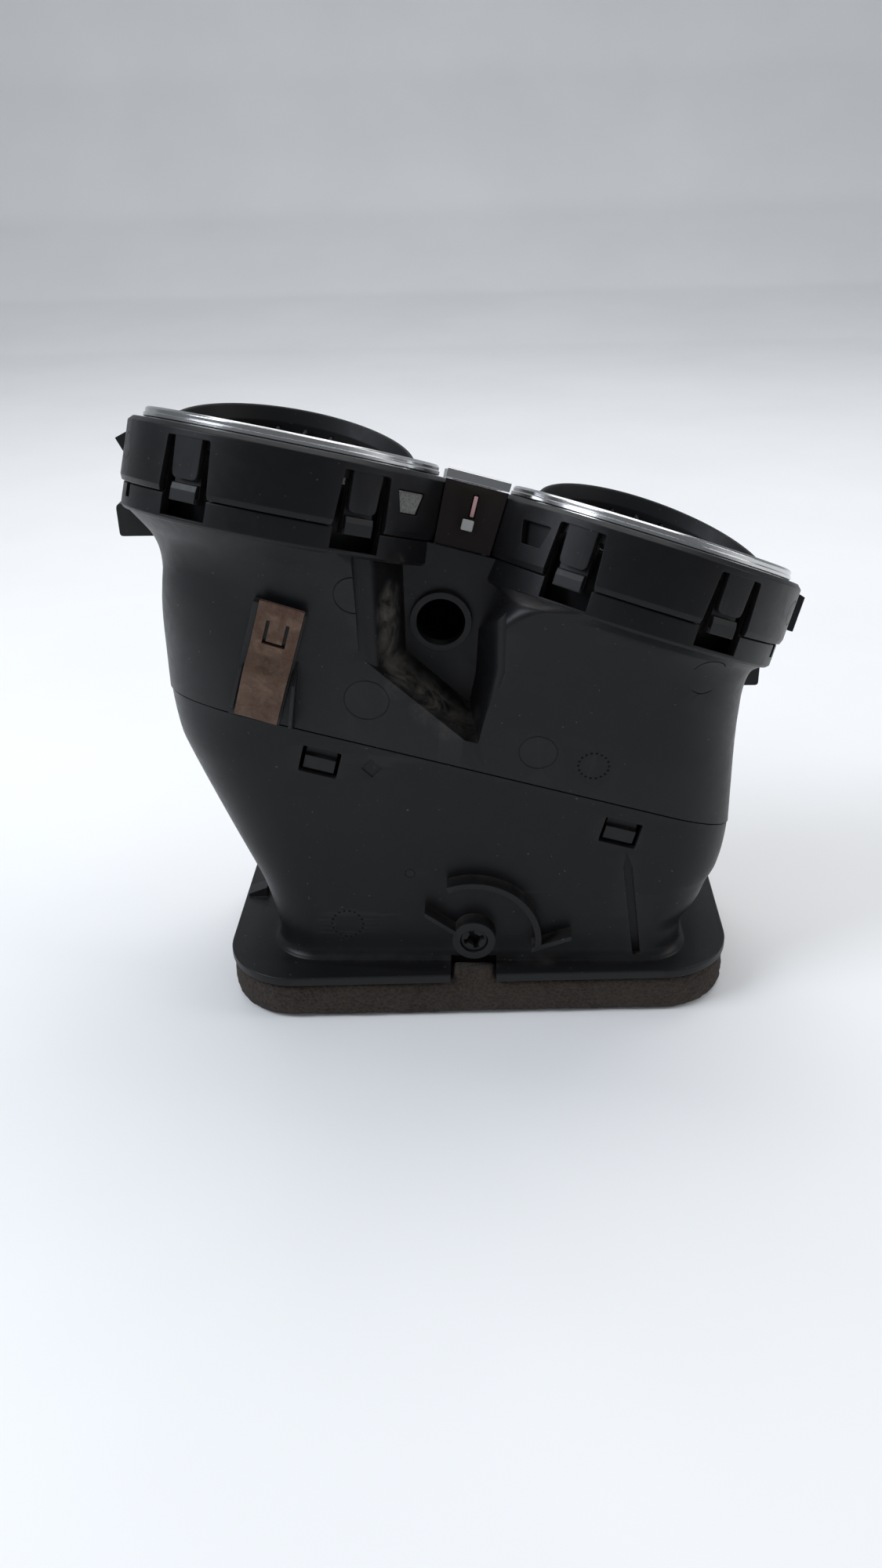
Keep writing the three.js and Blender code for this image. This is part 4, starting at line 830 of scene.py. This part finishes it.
def grown(outline, by):
    """An anticlockwise outline with every side moved outwards."""
    count = len(outline)
    sides = [(Vector(outline[(i + 1) % count]) - Vector(outline[i])).normalized() for i in range(count)]
    made = []
    for i, (x, z) in enumerate(outline):
        before, after = sides[i - 1], sides[i]
        reach = by / (1 + before.dot(after))
        made.append((x + (before.y + after.y) * reach, z - (before.x + after.x) * reach))
    return made


def pocket_outline(share, eased, inset):
    """The pocket's outline at one place, with its side walls rounded off towards the mouth."""
    plain = [(x + (mx - x) * share, z + (mz - z) * share)
             for (x, z), (mx, mz) in zip(POCKET_MIDDLE, POCKET_MOUTH)]
    slope = (plain[2][1] - plain[1][1]) / (plain[2][0] - plain[1][0])
    away = [-1, -1, 0, 0, POCKET_RIGHT_SHARE, POCKET_RIGHT_SHARE]
    made = [(x + eased * away[i], z - eased * slope if i == 1 else z) for i, (x, z) in enumerate(plain)]
    return grown(made, inset)


def pocket(inset, steps=8):
    """The tool for the pocket between both ducts, which runs through the housing."""
    mouth = HALF_DEPTH + 4
    places = [(WEB_BACK, 0, 0)]
    for step in range(steps + 1):
        turn = math.pi / 2 * step / steps
        y = mouth - POCKET_ROUNDING * (1 - math.sin(turn))
        places.append((y, (y - WEB_BACK) / (mouth - WEB_BACK), POCKET_ROUNDING * (1 - math.cos(turn))))
    stretch = (mouth + WEB_FRONT) / (mouth - WEB_BACK)
    front = [(WEB_FRONT - (y - WEB_BACK) * stretch, share, eased) for y, share, eased in places]
    far = (1, POCKET_ROUNDING)
    rings = []
    for y, share, eased in [(-REACH, *far), *reversed(front), *places, (REACH, *far)]:
        rings.append([Vector((x, y, z)) for x, z in pocket_outline(share, eased, inset)])
    return loft(rings, 0.0, 1)


def spigot(side):
    top = COLLAR_LIP + GAP
    bore = SPIGOT_BORE - 0.5
    tube = lathe(rounded([
        (bore, -BAND_BOTTOM), (BAND_RADIUS - 0.8, -BAND_BOTTOM), (BAND_RADIUS, -BAND_BOTTOM + 0.8),
        (BAND_RADIUS, -BAND_TOP), (SPIGOT_RADIUS, -BAND_TOP), (SPIGOT_RADIUS, -top), (bore, -top),
    ], [0, 0.6, 0.6, 0.4, 0.2, 0.3, 0.3]))
    half = TONGUE_WIDTH / 2
    ledge_top, ledge_foot = -COLLAR_HEIGHT + LATCH_HEIGHT, -BAND_TOP - LATCH_DROP
    latch = rounded([(SPIGOT_RADIUS - 1, ledge_foot), (SPIGOT_RADIUS + 1.3, ledge_foot),
                     (SPIGOT_RADIUS + 1.3, ledge_top - 1.6), (SPIGOT_RADIUS + 0.9, ledge_top),
                     (SPIGOT_RADIUS - 1, ledge_top)], [0, 0.3, 0.4, 0.4, 0])
    wide, foot = WINDOW_WIDTH / 2 - LATCH_PLAY, -BAND_BOTTOM + 1.4
    through = (SPIGOT_BORE - 1, REACH)
    ledges, gaps = [], []
    for angle in window_angles(side):
        ledges.append(round_barrel(prism_y(latch, -half, half), angle))
        gaps.append(round_barrel(box(through, (-wide, wide), (foot, ledge_foot)), angle))
        for edges in ((-wide, -half - LATCH_PLAY), (half + LATCH_PLAY, wide)):
            gaps.append(round_barrel(box(through, edges, (foot, -top - LATCH_ROOT)), angle))
    for turn in (0, 180):
        notch = box((BAND_RADIUS - 1, REACH), (-1.6, 1.6), (-BAND_TOP - 3.4, -BAND_TOP + 1))
        gaps.append(round_barrel(notch, SIDES[side] * 63 + turn))
    return placed(cut(unite(tube, ledges), gaps), BARREL[side])


def bearings(side):
    slot = BUSH_RADIUS + GAP
    half = slot + 2
    made = []
    for turn in (0, 180):
        block = box((BEARING_INNER, SPIGOT_BORE + 1), (-half, half),
                    (-PIVOT_DEPTH - half, -PIVOT_DEPTH + BUSH_RADIUS))
        bed = moved(rod_x(slot, 0, BEARING_OUTER + GAP), z=-PIVOT_DEPTH)
        mouth = box((0, BEARING_OUTER + GAP), (-slot, slot), (-PIVOT_DEPTH, REACH))
        made.append(placed(cut(block, bed, mouth), BARREL[side] @ spot(z=turn)))
    return made


def web():
    """The front and the back wall between both ducts, with a hooded hole in the front one."""
    plates = []
    for y in (WEB_FRONT, WEB_BACK):
        bottom = plane_height(SEAM_DEPTH, 0, y) + 3
        plates.append(box((WEB_LEFT, WEB_RIGHT), (y, y + WEB_THICKNESS), (bottom, FACE_HEIGHT)))
    shelf = placed(box((-REACH, REACH), (-REACH, REACH), (BRIDGE_BOTTOM - GAP, REACH)), FACE)
    ring = rod_y(HOLE_RADIUS + HOLE_RIM, WEB_FRONT - HOLE_RIM, WEB_FRONT + 1, 72)
    hole = rod_y(HOLE_RADIUS, WEB_FRONT - REACH / 2, WEB_FRONT + 3, 72)
    for tool in (ring, hole):
        moved(tool, HOLE_X, 0, HOLE_HEIGHT)
    return cut(unite(cut(unite(plates), shelf), ring), hole)


CLIP_FRAME = spot(CLIP_AT, x=CLIP_LEAN, y=CLIP_TURN)


def clip_rib(start, end, proud):
    low = CLIP_BOTTOM - 1
    outline = rounded([(7, low), (0, low), (-proud, low + 3), (-proud * 0.7, -4), (0, 1), (7, 1)],
                      [0, 0, 0.8, 2, 1, 0])
    return prism_x(outline, start, end)


def clip_seat():
    half = CLIP_WIDTH / 2 + CLIP_PLAY
    outer, low = half + CLIP_RIB_WIDTH, CLIP_BOTTOM - 1
    seat = box((-outer, half), (-1.2, 6), (low, CLIP_TOP - 1.5))
    fin = placed(clip_rib(0, CLIP_RIB_WIDTH, FIN_PROUD), spot((half, 0, 0), y=FIN_TURN))
    return placed(unite(seat, clip_rib(-outer, -half, CLIP_RIB_PROUD), fin), CLIP_FRAME)


def lug(side):
    edge, low, high = LUG[side]
    inner = HOUSING_LEFT + 12 if side == "left" else HOUSING_RIGHT - 12
    outline = rounded(rectangle((edge, inner), (low, high)), [1, 0, 0, 1.6])
    return prism_y(outline, LUG_FRONT, LUG_BACK)


def snap_frame(x, sign):
    return spot((x, sign * HALF_DEPTH, plane_height(SEAM_DEPTH, x, sign * HALF_DEPTH)), y=FACE_TILT)


def between(sign, a, b):
    return sorted((sign * a, sign * b))


def snap_tongue(x, sign):
    half, outer = SNAP_WIDTH / 2 - 1, -WALL - GAP
    inner = outer - SNAP_BLADE
    blade = box((-half, half), between(sign, outer, inner), (-SNAP_TONGUE, 6))
    root = box((-half, half), between(sign, -WALL / 2, inner), (1, 6))
    nose = box((-half, half), between(sign, -0.8, inner), (-SNAP_BOTTOM + 1, -SNAP_TOP - 3))
    return placed(unite(blade, root, nose), snap_frame(x, sign))


def snap_window(x, sign):
    half = SNAP_WIDTH / 2
    hole = rounded(rectangle((-half, half), (-SNAP_BOTTOM, -SNAP_TOP)), 0.4)
    return placed(prism_y(hole, -WALL - 1, WALL + 1), snap_frame(x, sign))


def snaps(make):
    return [make(x, sign) for x in SNAP_PLACES for sign in (-1, 1)]


def pressed(shell, marks):
    """Cuts shallow moulding marks into the front wall: circles, rings of dots, or a square recess."""
    tools = []
    for x, z, radius, kind in marks:
        _, at, normal, _ = shell.ray_cast(Vector((x, -REACH * 2, z)), Vector((0, 1, 0)))
        frame_there = Matrix.Translation(at) @ normal.to_track_quat("Z", "Y").to_matrix().to_4x4()
        if kind == "circle":
            shapes = [cut(rod(radius, -0.12, 3, 48), rod(radius - 0.28, -1, 4, 48))]
        elif kind == "dots":
            dots = arc(0, 0, radius, 0, 340, 17)
            shapes = [moved(rod(0.32, -0.35, 3, 12), *dot) for dot in dots]
        else:
            shapes = [placed(box((-radius, radius), (-radius, radius), (-0.4, 3)), spot(z=45))]
        tools += [placed(shape, frame_there) for shape in shapes]
    return cut(shell, tools)


def upper_housing():
    below = placed(box((-FAR, FAR), (-FAR, FAR), (-FAR, -SEAM_DEPTH + GAP / 2)), FACE)
    ducts = cut(unite([loft(duct_rings(side, 0)) for side in SIDES]), pocket(0))
    airways = cut(unite([loft(duct_rings(side, WALL)) for side in SIDES]), pocket(WALL))
    shell = unite(ducts, [spigot(side) for side in SIDES], web(), clip_seat(), [lug(side) for side in SIDES])
    bores = [placed(rod(SPIGOT_BORE, -BAND_BOTTOM + 0.5, REACH, FINE), at) for at in BARREL.values()]
    shell = cut(shell, below, airways, bores)
    shell = unite(shell, [bearings(side) for side in SIDES], snaps(snap_tongue))
    return pressed(shell, UPPER_MARKS)


# ---- lower housing
def base_body(inset):
    rings = []
    for height, left, right, left_corner, right_corner in BASE_LEVELS:
        corners = (right_corner, left_corner, left_corner, right_corner)
        plan = (HOUSING_LEFT + left, HOUSING_RIGHT - right, -HALF_DEPTH, HALF_DEPTH, corners)
        flares = [(height, 0)]
        if height == BASE_LEVELS[0][0] and not inset:
            flares = [(height, 2.6), (FLANGE_TOP, 2.6), (FLANGE_TOP + 0.7, 1.3), (FLANGE_TOP + 2.2, 0.35)]
        for z, out in flares:
            rings.append(ring_points(plan, lambda x, y, z=z: Vector((x, y, z)), inset - out))
    return loft(rings, 0.45)


def inlet_outline(inset):
    y = HALF_DEPTH - WALL
    plan = (FLAP_X - INLET_HALF, FLAP_X + INLET_HALF, -y, y, INLET_CORNER)
    return ring_points(plan, lambda px, py: (px, py), inset)


def flange_outline(inset, steps=24):
    corner, r = FLANGE["corner"], FLANGE["corner"] - inset
    left, right, back = FLANGE["left"] + corner, FLANGE["right"] - corner, FLANGE["back"] - corner
    return [*arc(left, FLANGE["front_left"] + corner, r, 180, 270, steps),
            *arc(right, FLANGE["front_right"] + corner, r, 270, 360, steps),
            *arc(right, back, r, 0, 90, steps), *arc(left, back, r, 90, 180, steps)]


def rimmed(outline_of, low, high, edge, steps=3):
    """An upright plate whose edges are rounded; outline_of(inset) gives its outline."""
    turns = [math.pi / 2 * i / steps for i in range(steps + 1)]
    levels = [(edge * (1 - math.cos(t)), low + edge * (1 - math.sin(t))) for t in reversed(turns)]
    levels += [(edge * (1 - math.cos(t)), high - edge * (1 - math.sin(t))) for t in turns]
    return loft([[Vector((x, y, z)) for x, y in outline_of(inset)] for inset, z in levels], 0.0, 1)


def flange():
    plate = rimmed(flange_outline, FLANGE_BOTTOM, FLANGE_TOP, 0.5)
    notch = rounded(rectangle(FLANGE_NOTCH, (-REACH, -HALF_DEPTH)), [0, 0, 1.2, 1.2])
    nub = prism_y([(-73, FLANGE_TOP - 1), (-67, FLANGE_TOP - 1), (-67, FLANGE_TOP + 3.4),
                   (-73, FLANGE_TOP + 1)], 0, 5)
    return cut(unite(plate, base_body(0)), prism(notch, 0, FLANGE_TOP + 1)), nub


def flap_boss(sign):
    ends = between(sign, HALF_DEPTH - WALL / 2, HALF_DEPTH + BOSS_PROUD)
    tube = rod_y(BOSS_RADIUS, *ends, 64)
    arch = [*arc(0, 0, GUARD_RADIUS + GUARD_WIDTH, GUARD_FROM, GUARD_TO, 48),
            *arc(0, 0, GUARD_RADIUS, GUARD_TO, GUARD_FROM, 48)]
    left = [(-BOSS_RADIUS + 1, 1.6), (-GUARD_GUSSET, 8.2), (-GUARD_GUSSET, 9.6), (-BOSS_RADIUS + 1, 3.2)]
    right = [(GUARD_RADIUS - 1, -4), (28, 0.2), (28, 1.6), (GUARD_RADIUS - 1, -2.4)]
    shapes = [tube, *(prism_y(outline, *ends) for outline in (arch, left, right))]
    return [moved(shape, FLAP_X, 0, FLAP_HEIGHT) for shape in shapes]


def front_groove():
    outline = [(42.3, 50.4), (44.2, 45.4), (47.8, FLANGE_TOP + 1), (45.6, FLANGE_TOP + 1), (41.7, 45.4)]
    return prism_y(outline, -HALF_DEPTH - 1, -HALF_DEPTH + 1.2)


def lower_housing():
    above = placed(box((-FAR, FAR), (-FAR, FAR), (-SEAM_DEPTH - GAP / 2, FAR)), FACE)
    airway = cut(base_body(WALL), box((-FAR, FAR), (-REACH, REACH), (0, FLANGE_TOP)))
    inlet = prism(inlet_outline(0), 0, FLANGE_TOP + 1)
    holes = [moved(rod_y(SPINDLE_RADIUS + GAP, *between(sign, REACH, HALF_DEPTH - WALL - 2)),
                   FLAP_X, 0, FLAP_HEIGHT) for sign in (-1, 1)]
    outside = unite(*flange(), flap_boss(-1), flap_boss(1))
    shell = cut(outside, above, airway, inlet, holes, snaps(snap_window), front_groove())
    return pressed(shell, LOWER_MARKS)


# ---- gasket
def gasket():
    """Foam that bulges between its glued faces, rises into the flange's notch and has an uneven foot."""
    body = rimmed(lambda inset: flange_outline(GASKET_INSET + inset), 0, GASKET_HEIGHT, 1.4, 4)
    notch = box((FLANGE_NOTCH[0] + 0.5, FLANGE_NOTCH[1] - 0.5), (-40.5, -33),
                (GASKET_HEIGHT - 3, GASKET_HEIGHT + 2.4))
    body = cut(unite(body, notch), prism(inlet_outline(-1), -1, GASKET_HEIGHT + 4))
    high = GASKET_HEIGHT
    for vertex, normal in fine_grid(body, 1.1):
        p = vertex.co
        middle = max(0, 1 - ((p.z - high / 2) / (high / 2)) ** 2)
        away = Vector((normal.x, normal.y, 0))
        grain = noise.noise(p * 0.9) * 0.22 + noise.noise(p * 0.33) * 0.3
        p += away * (grain - 0.35 + 0.5 * middle)
        if p.z < 1.5:
            p.z = max(0.0, p.z + 0.35 + 0.45 * noise.noise(Vector((p.x, p.y, 3)) * 0.07))
        elif p.z < high - 0.5:
            p.z += grain * 0.4
    return body


# ---- flaps
FLAP_HALF = HALF_DEPTH - WALL - GAP - SNAP_BLADE - 0.5
FLAP_LENGTH = INLET_HALF + 1.5


def flap_plate(x, half, bottom, top, soft=0.0):
    corner = 8
    right = [(half, bottom), (half, top - corner), (half - corner, top)]
    left = [(-y, z) for y, z in reversed(right)]
    return prism_x(rounded([*right, *left], [soft, 1, 1, 1, 1, soft]), *x)


def flap(sign):
    half, clear = FLAP_THICK, HUB_RADIUS + GAP + 0.4
    plate = flap_plate((-half, half), FLAP_HALF, clear, FLAP_LENGTH)
    root = box((-half, half), between(sign, 2, FLAP_HALF), (0, clear + 1))
    hub = rod_y(HUB_RADIUS, *between(sign, 0.4, FLAP_HALF))
    rib = [(0, 0), (sign * 2.8, 0), (sign * half, 30), (0, 30)]
    ribs = [prism_y(rib, sign * y - 0.8, sign * y + 0.8) for y in (7, 15, 23)]
    tenon = TENON_HALF + GAP
    socket = box((-tenon, tenon), between(sign, FLAP_HALF - 7 - GAP, FLAP_HALF + 1), (-tenon, tenon))
    pin_hole = rod_y(FLAP_PIN_RADIUS + GAP, *between(sign, -1, FLAP_PIN_HALF + GAP), 24)
    return cut(unite(plate, root, hub, ribs), socket, pin_hole)


def flap_seal(sign):
    face = sign * (FLAP_THICK + GAP)
    skin = flap_plate(sorted((face, face + sign * 1.2)), FLAP_HALF - 0.2, 32, FLAP_LENGTH - 0.4, 0.5)
    for vertex, normal in fine_grid(skin, 0.6):
        vertex.co += normal * (noise.noise(vertex.co * 1.3) * 0.08 - 0.1)
    return skin


def spindle(sign):
    inner, outer = FLAP_HALF + GAP, HALF_DEPTH + 4.2
    journal = rod_y(SPINDLE_RADIUS, *between(sign, inner, outer), 64)
    square = (-TENON_HALF, TENON_HALF)
    tenon = box(square, between(sign, inner - 7, inner + 1), square)
    mouth = between(sign, outer - 4, outer + 1)
    slots = [box((-3, 3), mouth, (-0.75, 0.75)), box((-0.75, 0.75), mouth, (-3, 3))]
    return cut(unite(journal, tenon), rod_y(1.9, *mouth, 24), slots)


# ---- bridge
def between_collars(shape):
    clear = [placed(rod(COLLAR_RADIUS + GAP, -REACH, REACH, FINE), FACE.inverted() @ at)
             for at in BARREL.values()]
    return cut(shape, clear)


def bridge_panel():
    reach = COLLAR_SPACING / 2 + 3
    half, wall, lift = BRIDGE_HALF, BRIDGE_WALL, BRIDGE_LIFT
    left, right, low, high = GUIDE
    block = box((-reach, reach), (-half, half), (BRIDGE_BOTTOM, lift))
    inside = box((-reach - 1, reach + 1), (-half + wall, half - wall), (-REACH, lift - wall))
    slot = box((left - GAP, right + GAP), (-REACH, 0), (low - GAP, high + GAP))
    return cut(between_collars(block), inside, slot)


def bridge_strip():
    reach, bottom = COLLAR_SPACING / 2 + 3, BRIDGE_LIFT + GAP
    outline = rounded(rectangle((-BRIDGE_HALF, BRIDGE_HALF), (bottom, bottom + STRIP_HEIGHT)),
                      [0.1, 0.1, 0.7, 0.7], 5)
    return between_collars(prism_x(outline, -reach, reach))


def light_guide():
    front = -BRIDGE_HALF - 0.6
    outline = rounded(rectangle(GUIDE[:2], GUIDE[2:]), 0.2)
    return prism_y(outline, front, front + 6)


def guide_block():
    back, top = -BRIDGE_HALF - GAP, -6.8
    outline = rounded(rectangle((-1.7, 1.3), (top - 2.8, top)), 0.4)
    return prism_y(outline, back - 2.2, back)


# ---- spring clip
def spring_clip():
    t, flat_y = CLIP_THICKNESS, 1.2 + GAP
    bulge = flat_y + CLIP_BULGE
    inner = [(-flat_y, CLIP_TOP), (-flat_y, 2), (-bulge, -2.5), (-flat_y - 0.4, CLIP_BOTTOM + 1)]
    outer = [(-flat_y - t - 0.4, CLIP_BOTTOM + 0.4), (-bulge - t, -2.5), (-flat_y - t, 2.4),
             (-flat_y - t, CLIP_TOP)]
    outline = rounded([*inner, *outer], [0.1, 2, 2, 0.2, 0.2, 3, 3, 0.2], 6)
    half, arm, slot = CLIP_WIDTH / 2, 3, 0.9
    strip = prism_x(outline, -half, half)
    through = (-REACH, 0)
    slots = [box((-arm, -arm + slot), through, (5.5, 12.5)), box((arm - slot, arm), through, (5.5, 12.5)),
             box((-arm, arm), through, (5.5, 5.5 + slot))]
    return cut(strip, slots)


# ---- the whole outlet
def build():
    inner = inner_plastic()
    flap_axis = Matrix.Translation((FLAP_X, 0, FLAP_HEIGHT))
    piece("shell_upper", upper_housing(), "upper_housing", shell_plastic())
    piece("shell_lower", lower_housing(), "lower_housing", black_plastic())
    foam = piece("gasket_cushion", gasket(), "foam_gasket", gasket_foam(), angle=80)
    for side, sign in SIDES.items():
        def pair(name, obj, node, *rest):
            return piece(f"{side}_{name}", obj, f"{side}_{node}", *rest)

        at = BARREL[side]
        middle = at @ Matrix.Translation((0, 0, -PIVOT_DEPTH))
        ball = middle @ spot(x=NOZZLE_TILT)
        turn = flap_axis @ spot(y=sign * FLAP_OPEN)
        pair("collar_shell", collar(side), "collar", black_plastic(), at)
        pair("chrome_bezel", trim_ring(), "trim_ring", chrome(), at, 25)
        for i, end in ((1, 180), (2, 0)):
            pair(f"bearing_bush_{i}", bush(), f"nozzle_bush_{i}", pale_plastic(),
                 middle @ spot(z=end))
        pair("swivel_nozzle", nozzle(), "nozzle", inner, ball)
        pair("coupling_bar", link_bar(), "link_bar", inner, ball)
        pair("vane_grip", knob(), "vane_knob", gloss_plastic(), ball)
        for i, x in enumerate(vane_places(), 1):
            pair(f"blade_{i}", vane(x), f"vane_{i}", inner, ball @ Matrix.Translation((x, 0, 0)))
        pair("shutter", flap(sign), "flap", inner, turn)
        seal = pair("shutter_seal", flap_seal(sign), "flap_seal", seal_foam(), turn, 60)
        pair("drive_spindle", spindle(sign), "flap_spindle", inner, turn)
    pin = rod_y(FLAP_PIN_RADIUS, -FLAP_PIN_HALF, FLAP_PIN_HALF, 32)
    piece("shutter_pin", pin, "flap_joining_pin", bright_steel(), flap_axis @ spot(y=-FLAP_OPEN))
    piece("felt_pad", view_pad(), "view_slot_pad", grey_felt(), BARREL["left"])
    piece("bridge_cover", bridge_panel(), "bridge_panel", gloss_plastic(), FACE)
    piece("bridge_trim", bridge_strip(), "bridge_strip", chrome(), FACE)
    piece("light_pipe", light_guide(), "light_guide", pink_plastic(), FACE)
    piece("light_pipe_holder", guide_block(), "light_guide_block", grey_plastic(), FACE)
    piece("retaining_spring", spring_clip(), "spring_clip", rusty_steel(), CLIP_FRAME)


# ---- floor, light and camera
def studio():
    world = bpy.data.worlds.new("studio")
    bpy.context.scene.world = world
    tree = Tree(world)
    path = tree.add("LightPath").outputs["Is Glossy Ray"]
    background = tree.nodes["Background"].inputs
    tree.put(background["Color"], (0.88, 0.93, 1.0))
    tree.put(background["Strength"], tree.ramp(path, (0.0, 0.42), (1.0, 0.22)))

    profile = [(-2.5, 0), (1.2, 0), (1.45, 0.03), (1.65, 0.12), (1.8, 0.3), (1.88, 0.6), (1.9, 1), (1.9, 2.6)]
    profile = rounded(profile, [0, 0.2, 0.1, 0.1, 0.1, 0.1, 0.1, 0], 4)
    points = [(x, y, z) for y, z in profile for x in (-3, 3)]
    faces = [(2 * i, 2 * i + 1, 2 * i + 3, 2 * i + 2) for i in range(len(profile) - 1)]
    mesh = bpy.data.meshes.new("floor")
    mesh.from_pydata(points, [], faces)
    floor = link("floor", mesh)
    mesh.polygons.foreach_set("use_smooth", [True] * len(mesh.polygons))
    paper = Surface("paper")
    paper.put(paper.shader["Base Color"], paper.ramp(paper.noise(6), (0.3, 0.86), (0.7, 0.9)))
    paper.shader["Roughness"].default_value = 0.9
    mesh.materials.append(paper.owner)

    def lamp(name, at, toward, size, power, color=(1, 1, 1)):
        data = bpy.data.lights.new(name, "AREA")
        data.shape = "RECTANGLE"
        data.size, data.size_y = size
        data.energy = power
        data.color = color
        obj = link(name, data)
        obj.location = at
        obj.rotation_euler = (Vector(toward) - Vector(at)).to_track_quat("-Z", "Y").to_euler()

    lamp("key", (-0.75, -0.3, 0.75), (0, 0, 0.1), (0.5, 0.5), 6, (0.86, 0.92, 1))
    lamp("side", (0.95, -0.1, 0.55), (0, 0, 0.08), (0.4, 0.7), 2.5)
    lamp("top", (0.1, 0.5, 1.1), (0, 0, 0.1), (1.2, 0.7), 7)


def camera():
    yaw, pitch, roll = (radians(a) for a in (-2.86, -27.85, -1.57))
    forward = Vector((math.sin(yaw) * math.cos(pitch), math.cos(yaw) * math.cos(pitch), math.sin(pitch)))
    right = Vector((math.cos(yaw), -math.sin(yaw), 0))
    up = right.cross(forward)
    across = right * math.cos(roll) + up * math.sin(roll)
    above = up * math.cos(roll) - right * math.sin(roll)
    data = bpy.data.cameras.new("camera")
    data.lens = 28.79
    data.sensor_width = 36
    data.clip_start, data.clip_end = 0.01, 20
    obj = link("camera", data)
    turn = Matrix((across, above, -forward)).transposed().to_4x4()
    place = Vector((6.03, -335.04, 232.4)) + SHIFT
    obj.matrix_world = Matrix.Translation(place * MM) @ turn
    bpy.context.scene.camera = obj


studio()
camera()
build()
bpy.context.scene.view_settings.view_transform = "Standard"
